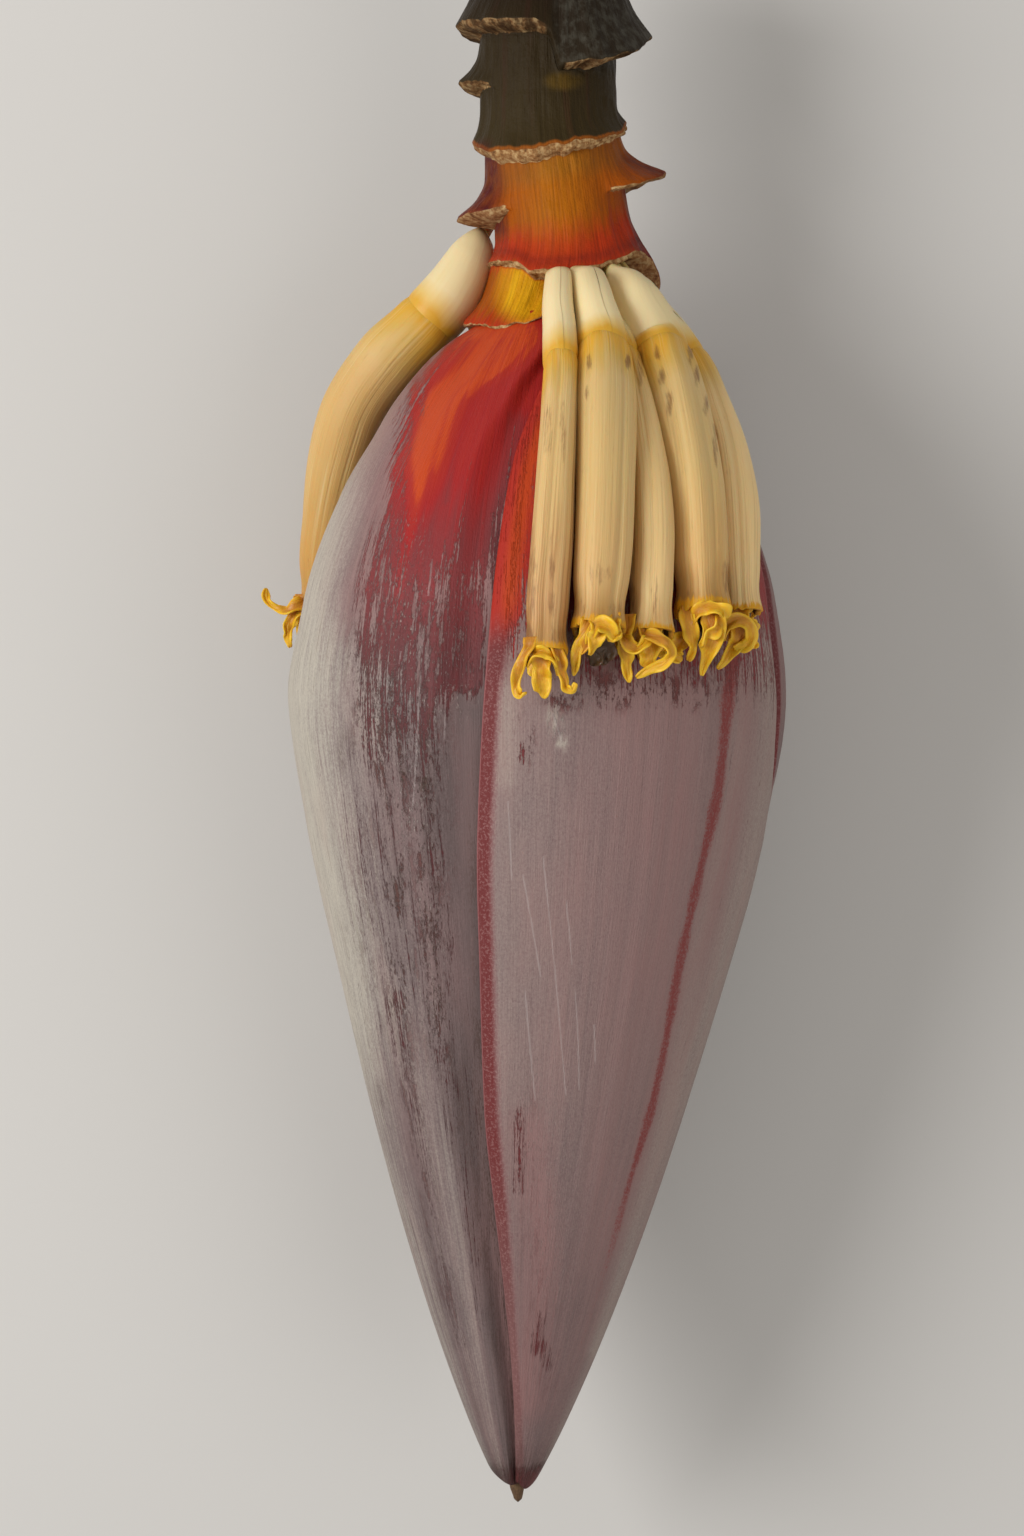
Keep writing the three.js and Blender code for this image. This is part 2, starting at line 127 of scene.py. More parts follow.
SCAR_SHARE = [0.5, 0.7, 0.62, 0.7, 0.62, 0.8]
COLLAR_SHAPE = [(0, 0), (0.45, 0.12), (0.75, 0.45), (1, 1)]

# Each flower's centre path: y, angle, distance, half width, half height.
FLOWER_PATHS = {
    "flower_1": [
        (75.4, -1.4, 13.0, 1.7, 2.4), (73, 0.6, 16.4, 1.9, 2.9), (68.9, 2.6, 20.6, 2.2, 3.3),
        (64.2, 4.2, 23.7, 2.4, 3.6), (57.2, 4.8, 29.3, 2.75, 3.9), (48.4, 3.6, 35.6, 3.1, 4.2),
        (37.7, 2.4, 41.5, 3.5, 4.3), (26.3, 1.6, 45.9, 3.75, 4.2), (16.1, 0.8, 48.1, 3.75, 4.2),
        (7.6, 0.5, 49, 3.7, 4.1),
    ],
    "flower_2": [
        (75.5, 17.2, 13.3, 2.1, 2.4), (73, 17.6, 17, 2.4, 3), (68.8, 19, 21.8, 2.8, 3.6),
        (63.7, 20.8, 24.6, 3.7, 4.2), (57.3, 19.5, 29.7, 4.45, 4.4), (48.5, 17, 35.9, 4.8, 4.6),
        (37.7, 14.7, 41.8, 4.8, 4.6), (26.4, 13.1, 46.2, 4.7, 4.5), (17.8, 12.1, 47.9, 4.45, 4.4),
        (11.7, 11.5, 48.9, 4.1, 4.3),
    ],
    "flower_3": [
        (75.6, 32, 11.9, 1.1, 1.5), (73.1, 30.5, 13.4, 1.2, 1.6), (68.4, 30, 17.4, 1.4, 1.8),
        (63.2, 33.6, 22.2, 1.4, 2.1), (57.8, 32.2, 27, 1.7, 2.4), (51.7, 30.4, 31.2, 2.1, 3),
        (44.4, 28.4, 36, 2.6, 3.4), (35.4, 26.3, 41.4, 3.0, 3.7), (25.8, 24.7, 45.2, 3.2, 3.8),
        (17.2, 23.6, 46.9, 3.2, 3.8), (10.8, 23, 47.9, 3.2, 3.8),
    ],
    "flower_4": [
        (75.6, 46.8, 13.6, 2.3, 2.6), (72.9, 44.2, 17.4, 2.8, 3.1), (69.3, 43.1, 22, 3.5, 3.8),
        (64.4, 48, 24.2, 4.3, 4.3), (58, 45.6, 29.4, 4.75, 4.6), (49.7, 42, 35.3, 4.8, 4.7),
        (40.9, 39.1, 40.3, 4.65, 4.7), (32.1, 36.8, 44.3, 4.4, 4.6), (23.3, 35.5, 46.8, 4.2, 4.4),
        (15.4, 35.2, 48.1, 3.85, 4.1),
    ],
    "flower_5": [
        (75.8, 70, 12.8, 2.1, 2.1), (73.1, 66, 15.8, 2.2, 2.4), (69.1, 64, 19.6, 2.5, 2.6),
        (63.5, 66, 24.8, 2.7, 2.9), (57, 63.8, 30, 3.25, 3.3), (49.4, 58.7, 34.9, 3.65, 3.6),
        (40.6, 53.3, 40.1, 3.75, 3.9), (31.6, 49.3, 44, 3.7, 4.0), (22.8, 46.9, 46.4, 3.3, 3.9),
        (14.6, 46.2, 47.7, 3, 3.7),
    ],
    "flower_left": [
        (85.4, -119, 15.2, 2.1, 2.4), (82, -108, 16.4, 3.3, 3.2), (74.3, -104, 19.4, 4.7, 4.2),
        (67.6, -103, 24.1, 5.3, 4.7), (61.5, -103, 30, 5.6, 4.9), (52.3, -105, 36.2, 5.3, 4.8),
        (43.3, -110, 39.9, 4.9, 4.6), (34.9, -115.2, 43, 4.7, 4.4), (26.3, -119.6, 45.6, 4.5, 4.2),
        (18.2, -123, 47, 4.2, 4.1),
    ],
}

# ---- sizes of the looks alone, in mm and degrees -------------------------------------

# An eye that looks straight down on the blossom: where marks and lobes are placed from.
EYE_HEIGHT = 768.0
EYE_PLACE = (-4.68, -12.24)

BRACT_CLEARANCE = 0.2
# Where the dip under a closely lying margin starts before it, and where it is done past it.
SNUG_LEAD = 7.0
SNUG_PAST = 3.0
# A free margin's width, and the thickest that a bract gets.
MARGIN_WIDTH = 3.7
THICKEST = 2.6
# Distances that stand for no free margin and no scratch nearby.
NO_MARGIN = 99.0
NO_LINE = 9.0

# ---- curves, noise and places --------------------------------------------------------


def curve_through(points):
    """A smooth curve through (place, value) points, that never swings past them."""
    knots = np.array(sorted(tuple(point) for point in points), float)
    xs = knots[:, 0]
    ys = knots[:, 1]
    rise = np.diff(ys) / np.diff(xs)
    slope = np.concatenate([rise[:1], np.zeros(len(knots) - 2), rise[-1:]])
    before = rise[:-1]
    after = rise[1:]
    same = before * after > 0
    total = np.where(same, before + after, 1)
    slope[1:-1] = np.where(same, 2 * before * after / total, 0)

    def curve(x):
        """The value at each place, held at the first and the last one past the ends."""
        x = np.clip(x, xs[0], xs[-1])
        i = np.clip(np.searchsorted(xs, x) - 1, 0, len(xs) - 2)
        width = xs[i + 1] - xs[i]
        t = (x - xs[i]) / width
        s = 1 - t
        ends = s * s * (1 + 2 * t) * ys[i] + t * t * (3 - 2 * t) * ys[i + 1]
        return ends + width * t * s * (s * slope[i] - t * slope[i + 1])

    return curve


def smooth(value, low, high):
    """0 below low, 1 above high, and a smooth rise between; high may be the lower of the two."""
    t = np.clip((np.asarray(value, float) - low) / (high - low), 0, 1)
    return t * t * (3 - 2 * t)


def lerp(a, b, t):
    """a where t is 0, b where it is 1, and evenly between."""
    return a + (b - a) * t


def noise(u, v, seed):
    """Smooth noise from -1 to 1, with one bump a unit. It repeats after 64 units."""
    size = 64
    table = np.random.default_rng(seed).uniform(-1, 1, (size, size))
    u = np.asarray(u, float) + 0 * np.asarray(v, float)
    v = np.asarray(v, float) + 0 * u
    column = np.floor(u).astype(int)
    row = np.floor(v).astype(int)
    s = smooth(u - column, 0, 1)
    t = smooth(v - row, 0, 1)
    left = column % size
    right = (column + 1) % size
    foot = row % size
    head = (row + 1) % size
    low = lerp(table[left, foot], table[right, foot], s)
    high = lerp(table[left, head], table[right, head], s)
    return lerp(low, high, t)


def patch(u, v, centre, half_sizes):
    """1 in the middle of a soft oval, falling to 0 past its edge."""
    away = np.hypot((u - centre[0]) / half_sizes[0], (v - centre[1]) / half_sizes[1])
    return 1 - smooth(away, 0.45, 1.25)


def up_line(points):
    """A curve that gives u at each v, through (u, v) points."""
    return curve_through([(v, u) for u, v in points])


def stroke(u, v, points, half_width):
    """The signed distance to a line through the points, in half widths."""
    line = up_line(points)
    low = min(spot[1] for spot in points)
    high = max(spot[1] for spot in points)
    past = np.maximum(np.maximum(low - v, v - high), 0)
    beside = (u - line(v)) / half_width
    return np.where(past > 0, np.hypot(beside, past / half_width), beside)


def band(u, v, points, half_width, softness=0.9):
    """1 on a soft-edged stroke through the points, and 0 off it."""
    return 1 - smooth(np.abs(stroke(u, v, points, half_width)), 1 - softness, 1 + softness)


def bands(u, v, marks):
    """The sum of soft strokes, each with its strength, half width and points."""
    return sum(strength * band(u, v, points, half_width) for strength, half_width, points in marks)


def patches(u, v, marks):
    """The sum of soft ovals, each with its strength, centre and half sizes."""
    return sum(strength * patch(u, v, centre, half_sizes) for strength, centre, half_sizes in marks)


def soft_box(u, v, left, right, foot, head):
    """1 inside a soft rectangle. Each side is a pair: where it is still 0, and where it is 1."""
    return smooth(u, *left) * smooth(u, *right) * smooth(v, *foot) * smooth(v, *head)


def scratch_lines(u, v, paths):
    """The distance to the nearest thin line and whether one is there. Each path comes with 1 or -1,
    turned over from one line to the next beside it."""
    nearest = np.full(len(u), NO_LINE)
    there = np.zeros(len(u))
    for way, path in paths:
        low = min(spot[1] for spot in path)
        high = max(spot[1] for spot in path)
        side = (u - up_line(path)(v)) * way
        here = smooth(v, low - 0.8, low + 0.4) * smooth(v, high + 0.8, high - 0.4)
        here = here * smooth(np.abs(side), 2.4, 1.5)
        closer = (np.abs(side) < np.abs(nearest)) & (here > 0)
        nearest = np.where(closer, side, nearest)
        there = np.where(closer, here, there)
    return np.column_stack([nearest, there, 0 * there])


bud_radius = curve_through(BUD_OUTLINE)
centre_offset = curve_through(CENTRE_LINE)
front_seam = curve_through(FRONT_SEAM)
right_seam = curve_through(RIGHT_SEAM)
left_seam = curve_through(LEFT_SEAM)


def bract_thickness(y):
    """A bract's thickness, thicker where the bud is wide."""
    return np.clip(0.5 + 0.1 * bud_radius(y), 0.7, 2.0)


def place(y, angle, distance):
    """The point at this y, angle in degrees and distance from the blossom's centre line."""
    a = np.radians(angle)
    y = y + 0 * distance
    return np.stack([centre_offset(y) + distance * np.sin(a), y, distance * np.cos(a)], axis=-1)


def faced(points):
    """Where points appear on a sheet through the axis, to an eye straight above the blossom."""
    spread = EYE_HEIGHT / (EYE_HEIGHT - points[:, 2])
    u = EYE_PLACE[0] + (points[:, 0] - EYE_PLACE[0]) * spread
    v = EYE_PLACE[1] + (points[:, 1] - EYE_PLACE[1]) * spread
    return u, v


# ---- making and finishing a piece ----------------------------------------------------


def grid(name, rows, columns):
    """Adds a flat grid, and gives it with each point's share down its rows and across them."""
    bpy.ops.object.select_all(action="DESELECT")
    bpy.ops.mesh.primitive_grid_add(x_subdivisions=columns - 1, y_subdivisions=rows - 1, size=2)
    piece = bpy.context.object
    piece.name = name
    piece.data.name = name
    flat = np.empty(len(piece.data.vertices) * 3)
    piece.data.vertices.foreach_get("co", flat)
    flat = flat.reshape(-1, 3)
    return piece, (1 - flat[:, 1]) / 2, (flat[:, 0] + 1) / 2


def shape_grid(piece, points, uv, **fields):
    """Puts the grid's points in place, in mm, with its pattern map and named fields."""
    mesh = piece.data
    metres = (points + np.array(RING_CENTRE)) * MM
    mesh.vertices.foreach_set("co", metres.astype(np.float32).ravel())
    corner = np.empty(len(mesh.loops), int)
    mesh.loops.foreach_get("vertex_index", corner)
    layer = mesh.uv_layers[0]
    layer.name = "grain"
    layer.data.foreach_set("uv", np.asarray(uv, np.float32)[corner].ravel())
    for field, values in fields.items():
        kind = "FLOAT_VECTOR" if values.ndim == 2 else "FLOAT"
        attribute = mesh.attributes.new(field, kind, "POINT")
        key = "vector" if values.ndim == 2 else "value"
        attribute.data.foreach_set(key, values.astype(np.float32).ravel())
    mesh.update()


# In metres.
MERGE_DISTANCE = 0.00001


def merge():
    """Joins the new grid's touching edges, and turns its faces outwards."""
    bpy.ops.object.mode_set(mode="EDIT")
    bpy.ops.mesh.select_all(action="SELECT")
    bpy.ops.mesh.remove_doubles(threshold=MERGE_DISTANCE)
    bpy.ops.mesh.normals_make_consistent(inside=False)
    bpy.ops.object.mode_set(mode="OBJECT")


def face_away(piece):
    """Flips an open grid whose faces look towards the axis."""
    mesh = piece.data
    middle = len(mesh.polygons) // 2
    face = mesh.polygons[middle]
    centre = np.array(face.center) / MM - np.array(RING_CENTRE)
    outward = np.array([centre[0] - centre_offset(centre[1]), 0, centre[2]])
    if np.dot(outward, np.array(face.normal)) < 0:
        bpy.ops.object.mode_set(mode="EDIT")
        bpy.ops.mesh.select_all(action="SELECT")
        bpy.ops.mesh.flip_normals()
        bpy.ops.object.mode_set(mode="OBJECT")


def modifier(piece, kind, **settings):
    """Adds a modifier with its settings, and applies it."""
    made = piece.modifiers.new(kind.title(), kind)
    for key, value in settings.items():
        setattr(made, key, value)
    bpy.ops.object.modifier_apply(modifier=made.name)


def join(pieces, name):
    """Joins the pieces into one, under a new name."""
    bpy.ops.object.select_all(action="DESELECT")
    for piece in pieces:
        piece.select_set(True)
    bpy.context.view_layer.objects.active = pieces[0]
    bpy.ops.object.join()
    piece = bpy.context.object
    piece.name = name
    piece.data.name = name
    return piece


def dress(piece, material, slot, *nodes):
    """Finishes a piece: smooth shading, its material, its body and the solids it stands for."""
    bpy.ops.object.select_all(action="DESELECT")
    piece.select_set(True)
    bpy.context.view_layer.objects.active = piece
    bpy.ops.object.shade_smooth()
    piece.data.materials.clear()
    piece.data.materials.append(material)
    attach(piece, "root")
    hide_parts(*nodes)


# The colour sockets of a mix node, which has a set of them for each kind of data.
MIX_SHARE = 0
MIX_A = 6
MIX_B = 7
MIX_RESULT = 2


class Recipe:
    """A finish, put together from shader nodes a step at a time."""

    def __init__(self, name, **constants):
        """Starts a material, with the shader sockets that are the same all over."""
        self.material = bpy.data.materials.new(name)
        self.material.use_nodes = True
        self.tree = self.material.node_tree
        self.shader = self.tree.nodes["Principled BSDF"]
        for socket, value in constants.items():
            self.shader.inputs[socket.replace("_", " ")].default_value = value

    def feed(self, socket, value):
        """Links a socket to another one, or sets its value."""
        if isinstance(value, bpy.types.NodeSocket):
            self.tree.links.new(value, socket)
        else:
            socket.default_value = value

    def node(self, kind, inputs, output=0, **settings):
        """Adds a node, feeds its inputs, and gives one of its outputs."""
        made = self.tree.nodes.new(kind)
        for key, value in settings.items():
            setattr(made, key, value)
        for key, value in inputs.items():
            self.feed(made.inputs[key], value)
        return made.outputs[output]

    def math(self, operation, a, b=0.0):
        """One step of arithmetic, on one number or two."""
        return self.node("ShaderNodeMath", {0: a, 1: b}, operation=operation)

    def centred(self, value):
        """A share or a noise, moved down to lie about zero."""
        return self.math("SUBTRACT", value, 0.5)

    def sum(self, *terms):
        """All the terms together."""
        total = terms[0]
        for term in terms[1:]:
            total = self.math("ADD", total, term)
        return total

    def times(self, a, b):
        """One number times another."""
        return self.math("MULTIPLY", a, b)

    def add(self, base, *others):
        """Base, with other values added to it, each by its weight."""
        for value, weight in others:
            base = self.sum(base, self.times(value, weight))
        return base

    def window(self, value, low, high, to_low=0.0, to_high=1.0):
        """A smooth step, from one value below low to another above high."""
        spans = {0: value, 1: low, 2: high, 3: to_low, 4: to_high}
        return self.node("ShaderNodeMapRange", spans, interpolation_type="SMOOTHSTEP")

    def blend(self, share, a, b):
        """Colour a, covered by a share of colour b."""
        spans = {MIX_SHARE: share, MIX_A: a, MIX_B: b}
        return self.node("ShaderNodeMix", spans, MIX_RESULT, data_type="RGBA", blend_type="MIX")

    def parts(self, name):
        """The three numbers of a named field."""
        field = self.node("ShaderNodeAttribute", {}, "Vector", attribute_name=name)
        made = self.tree.nodes.new("ShaderNodeSeparateXYZ")
        self.feed(made.inputs[0], field)
        return made.outputs[0], made.outputs[1], made.outputs[2]

    def grain(self, across, along, detail=3.0, roughness=0.55, shift=0.0):
        """Noise on the pattern map, with this many bumps a mm across and along."""
        uv = self.node("ShaderNodeUVMap", {}, uv_map="grain")
        settings = {"Vector": uv, "Location": (shift, shift, 0), "Scale": (across, along, 1)}
        spot = self.node("ShaderNodeMapping", settings)
        return self.noise(spot, 1.0, detail, roughness)

    def solid_noise(self, scale, detail=3.0, roughness=0.55):
        """Noise through the solid, with this many bumps a metre."""
        spot = self.node("ShaderNodeTexCoord", {}, "Object")
        return self.noise(spot, scale, detail, roughness)

    def noise(self, spot, scale, detail, roughness):
        """Noise at the spots given, from 0 to 1."""
        spans = {"Vector": spot, "Scale": scale, "Detail": detail, "Roughness": roughness}
        return self.node("ShaderNodeTexNoise", spans)

    def ramp(self, value, stops):
        """A colour by value, through stops of a position and a colour."""
        made = self.tree.nodes.new("ShaderNodeValToRGB")
        self.feed(made.inputs[0], value)
        ramp = made.color_ramp
        while len(ramp.elements) < len(stops):
            ramp.elements.new(0.5)
        for element, (position, colour) in zip(ramp.elements, stops):
            element.position = position
            element.color = (*colour[:3], 1)
        return made.outputs[0]

    def bump(self, height, distance):
        """Fine relief, this deep in metres."""
        spans = {"Height": height, "Distance": distance, "Strength": 1.0}
        self.feed(self.shader.inputs["Normal"], self.node("ShaderNodeBump", spans))

    def finish(self, colour, roughness):
        """Gives the shader its colour and roughness, and hands over the material."""
        self.feed(self.shader.inputs["Base Color"], colour)
        self.feed(self.shader.inputs["Roughness"], roughness)
        return self.material


# ---- bracts --------------------------------------------------------------------------


class WaxRecipe(Recipe):
    """The finish of a waxy bract. It reads the bract's fields, and wears its bloom away by noises
    that run along the bract or that are as fine as dust."""

    def __init__(self, name, look):
        """Lays out the fields and the noises."""
        super().__init__(name, Specular_IOR_Level=0.26)
        self.look = look
        self.bloom, self.pale, self.rosy = self.parts("coat")
        self.warmth, self.soiled, self.stripe = self.parts("skin")
        self.margin, self.rim_warmth, self.strip = self.parts("edge")
        self.beside, self.scratched, _ = self.parts("line")
        self.pecked, self.chipped, self.ribbed = self.parts("wear")
        self.dust = self.centred(self.solid_noise(2300.0, 3.0, 0.7))
        self.cloud = self.centred(self.grain(0.1, 0.035, 3.0, 0.5, 51.0))
        self.blotch = self.centred(self.grain(0.35, 0.09, 3.0, 0.5, 11.0))
        self.clump = self.centred(self.grain(0.42, 0.11, 2.0, 0.5, 37.0))
        self.streak = self.centred(self.grain(0.75, 0.022, 4.0, 0.66))
        self.thread = self.centred(self.grain(3.2, 0.06, 3.0, 0.66, 7.0))
        self.flake = self.centred(self.grain(1.7, 0.17, 5.0, 0.8, 21.0))
        self.speck = self.centred(self.grain(3.4, 1.1, 3.0, 0.6, 3.0))
        peck = self.grain(1.6, 0.6, 6.0, 0.85, 31.0)
        pecks = self.add(peck, (self.streak, 0.4), (self.clump, 0.6))
        self.holes = self.times(self.pecked, self.window(pecks, 0.55, 0.61))
        chip = self.grain(2.6, 0.9, 4.0, 0.75, 43.0)
        self.chips = self.times(self.chipped, self.window(self.add(chip, (self.flake, 0.6)), 0.56, 0.63))

    def cover(self):
        """How much of the wax is left at each spot."""
        part_worn = self.window(self.math("ABSOLUTE", self.centred(self.bloom)), 0.0, 0.42, 2.2, 1.0)
        marks = self.add(
            self.times(self.streak, 1.1), (self.thread, 0.7), (self.flake, 1.1), (self.speck, 0.6),
        )
        worn_and_shaded = self.add(self.bloom, (marks, part_worn), (self.blotch, 0.35))
        unbroken = self.math("SUBTRACT", 1.0, self.times(self.holes, 0.9))
        return self.times(self.window(worn_and_shaded, 0.34, 0.64), unbroken)

    def bare_skin(self):
        """The skin under the wax, from maroon to orange, brown in the holes."""
        look = self.look
        warm = self.add(self.warmth, (self.streak, 0.45), (self.flake, 0.12))
        skin = self.ramp(warm, [
            (0.03, look.deep_maroon), (0.3, look.maroon), (0.58, look.red), (0.86, look.orange_red),
            (1.0, look.orange),
        ])
        return self.blend(self.times(self.holes, 0.55), skin, look.soil)

    def wax(self):
        """The bloom itself, paler where it is thick and mauve where it is thin; its paleness also brings
        painted shade beside the front seam and painted light on the right bract's far side.
        """
        look = self.look
        shine = self.add(
            self.pale,
            (self.streak, self.sum(0.2, self.times(self.ribbed, 1.0))),
            (self.thread, self.sum(0.1, self.times(self.ribbed, 0.8))),
            (self.flake, self.sum(0.15, self.times(self.ribbed, 0.8))),
            (self.speck, 0.4), (self.dust, 0.6), (self.cloud, 0.3),
        )
        wax = self.ramp(shine, [
            (0.0, look.shaded_wax), (0.33, look.wax), (0.6, look.light_wax), (0.8, look.pale_wax),
            (1.0, look.cream_wax),
        ])
        thin = self.window(self.streak, -0.25, 0.25, 0.7, 1.0)
        return self.blend(self.times(self.add(self.rosy, (self.cloud, 1.1)), thin), wax, look.rosy_wax)

    def with_stripe(self, coat):
        """Adds the stripe where another bract's margin lay, grainy and soft at its sides."""
        grainy = self.add(self.stripe, (self.speck, 1.2), (self.flake, 1.0), (self.dust, 1.8))
        return self.blend(self.times(self.window(grainy, 0.2, 1.15), 0.95), coat, self.look.stripe)

    def with_fissures(self, coat):
        """Adds dark fibres where the bract is ribbed."""
        fissure = self.window(self.add(self.thread, (self.flake, 0.6), (self.streak, 0.4)), 0.07, 0.15)
        ribs = self.window(self.ribbed, 0.45, 0.95, 0.0, 0.62)
        return self.blend(self.times(fissure, ribs), coat, self.look.soil)

    def with_margin(self, coat):
        """Adds the free margin: a thin rim painted lighter as a highlight on the raised edge, then a grainy
        red slope with a painted orange highlight in its middle, that fades into the bloom.
        """
        look = self.look
        # The thinnest part at the edge takes the rim colour, painted lighter: a highlight along the raised
        # edge.
        rim = self.ramp(self.margin, [
            (0.0, look.rim), (0.05, look.rim), (0.1, look.strip_red), (0.6, look.strip_red),
            (0.85, look.strip_pink),
        ])
        rim = self.blend(self.window(self.dust, 0.0, 0.12, 0.0, 0.5), rim, look.strip_dust)
        warm = self.window(self.add(self.rim_warmth, (self.streak, 0.3)), 0.15, 0.8)
        rim = self.blend(warm, rim, look.orange_red)
        # Painted highlight: orange in the middle of the margin's rounded fold, where it is warm.
        inside = self.window(self.add(self.margin, (self.streak, 0.4)), 0.18, 0.6)
        highlit_middle = self.times(self.window(self.rim_warmth, 0.35, 0.95, 0.0, 0.95), inside)
        rim = self.blend(highlit_middle, rim, look.orange)
        rim = self.blend(self.window(self.rim_warmth, -0.1, -0.7), rim, look.deep_maroon)
        from_edge = self.add(self.margin, (self.speck, 0.35), (self.dust, 0.3))
        on_rim = self.times(self.strip, self.window(from_edge, 0.62, 1.06, 1.0, 0.0))
        return self.blend(on_rim, coat, rim)

    def with_marks(self, coat):
        """Adds brown scars and the painted shade beside the front seam, lifted flakes and thin scratches."""
        dirty = self.window(self.add(self.speck, (self.flake, 0.7), (self.clump, 0.6)), -0.02, 0.12, 0.1, 1.0)
        coat = self.blend(self.times(self.soiled, dirty), coat, self.look.soil)
        coat = self.blend(self.times(self.chips, 0.6), coat, self.look.chip)
        near = self.math("ABSOLUTE", self.add(self.beside, (self.speck, 0.3)))
        fine = self.window(self.add(near, (self.thread, 0.6), (self.dust, 0.3)), 0.04, 0.24, 0.34, 0.0)
        return self.blend(self.times(self.scratched, fine), coat, self.look.scratch)


def bract_finish(name, look):
    """Waxy bloom, rubbed through in streaks and specks to a red or maroon skin, with the painted shade and
    light that the bract's fields carry.
    """
    r = WaxRecipe(name, look)
    cover = r.cover()
    coat = r.blend(r.times(cover, 0.93), r.bare_skin(), r.wax())
    coat = r.with_marks(r.with_margin(r.with_fissures(r.with_stripe(coat))))
    height = r.add(
        r.times(r.streak, 0.6), (r.thread, 0.4), (r.flake, 0.4), (r.speck, 0.25), (r.dust, 0.3),
        (cover, 0.45), (r.chips, 0.5),
    )
    r.bump(height, 0.00024)
    return r.finish(coat, r.window(cover, 0.0, 1.0, look.skin_roughness, look.wax_roughness))


OUTLINE_STEPS = 401
# In metres.
BRACT_EDGE = 0.0003


def bract(
    name, start, stop, base, tip, under, free_start, free_stop, rows, columns, relief, looks, strip=1.3,
):
    """One bract's skin as a grid, thickened inwards, with the fields that its finish reads. Its sides
    run along start and stop, its ends along base and tip, and it dips where it goes under another."""
    piece, down, across = grid(name, rows, columns)
    outline = np.linspace(NECK_TOP, TIP_END, OUTLINE_STEPS)
    steps = np.hypot(np.diff(outline), np.diff(bud_radius(outline)))
    length = np.concatenate([[0], np.cumsum(steps)])
    even = np.interp(down, length / length[-1], outline)
    y = lerp(base(across), tip(across), (even - NECK_TOP) / (TIP_END - NECK_TOP))
    angle = lerp(start(y), stop(y), across)
    thick = bract_thickness(y)
    arc = np.radians(1) * bud_radius(y)
    from_start = (angle - start(y)) * arc if free_start else np.full(len(y), NO_MARGIN)
    from_stop = (stop(y) - angle) * arc if free_stop else np.full(len(y), NO_MARGIN)
    margin = np.minimum(from_start, from_stop)
    slope = np.clip(margin / np.minimum(MARGIN_WIDTH, 0.12 * bud_radius(y)), 0, 1)
    share = 0.4 + 0.6 * np.sqrt(1 - (1 - slope) ** 2)
    tucked = under(y, angle)
    inside = bud_radius(y) - thick - tucked * (thick + BRACT_CLEARANCE)
    showing = 1 - tucked
    hem = smooth(margin, 0, 4) * smooth(down, 0, 0.03) * smooth(down, 1, 0.93)
    lift = relief(y, angle) * showing * hem
    points = place(y, angle, inside + thick * share + lift)
    points[:, 2] = np.maximum(points[:, 2], -AXIS_HEIGHT)
    u, v = faced(points)
    coat, skin, wear, line, rim_warmth = looks(y, angle, u, v)
    fade = smooth(y, -124, -76)
    strip = strip * lerp(0.5, 1.0, fade) * lerp(1.0, 1.5, smooth(y, -2, 16))
    edge = np.column_stack([np.clip(margin / strip, 0, 2), rim_warmth, lerp(0.45, 1.0, fade)])
    uv = np.column_stack([angle * np.radians(1) * WIDEST_RADIUS, y])
    shape_grid(piece, points, uv, coat=coat, skin=skin, wear=wear, edge=edge, line=line)
    group = piece.vertex_groups.new(name="thickness")
    weights = np.clip((thick * share + lift) / THICKEST, 0.05, 1)
    for index, weight in enumerate(weights):
        group.add([index], float(weight), "REPLACE")
    face_away(piece)
    modifier(
        piece, "SOLIDIFY", thickness=THICKEST * MM, offset=-1, vertex_group="thickness",
        thickness_vertex_group=0.0, use_even_offset=False,
    )
    modifier(
        piece, "BEVEL", width=BRACT_EDGE, segments=2, limit_method="ANGLE", angle_limit=math.radians(60),
    )
    return piece


def dip(past):
    """1 where a bract has gone under its neighbour, whose margin is at 0 degrees."""
    return smooth(past, -TUCK_BLEND - TUCK_LEAD, -TUCK_LEAD)


def snug_dip(past):
    """The same for a margin that lies close on the bract under it."""
    return smooth(past, -SNUG_LEAD, SNUG_PAST)


def veins(y, angle, seed, strength):
    """Long fine ridges that run together towards the tip, over slow swells."""
    swell = 0.3 * noise(angle / 17 + 9, y / 34 + 9, seed)
    broad = 0.14 * noise(angle / 4.2 + 50, y / 70 + 9, seed + 1)
    fine = 0.07 * noise(angle / 1.7 + 90, y / 80 + 5, seed + 2)
    return (swell + broad + fine) * strength * smooth(bud_radius(y), 2, 25)


# How much fuller the left bract's shoulder stands at each y.
LEFT_SHOULDER = [(36, 0), (46, 0.9), (54, 2.2), (60, 2.6), (67, 1.2)]


def left_relief(y, angle):
    """How far the left bract's outer face stands out: veins, folds and a full shoulder."""
    folds = 0.45 * np.cos((angle - front_seam(y)) / 4.6 + y / 40)
    folded = smooth(y, 8, 28) * smooth(angle, -62, -44) * smooth(y, 66, 54)
    bulge = 0.5 * np.exp(-((y - 3) / 6.5) ** 2) * smooth(angle, -60, -80)
    bulge = bulge + curve_through(LEFT_SHOULDER)(y) * smooth(angle, -40, -62)
    return veins(y, angle, 3, 1.0) + folds * folded * 0.8 + bulge


def right_relief(y, angle):
    """The right bract has veins alone."""
    return veins(y, angle, 13, 0.6)


def back_relief(y, angle):
    """The back bract has veins alone."""
    return veins(y, angle, 23, 0.9)


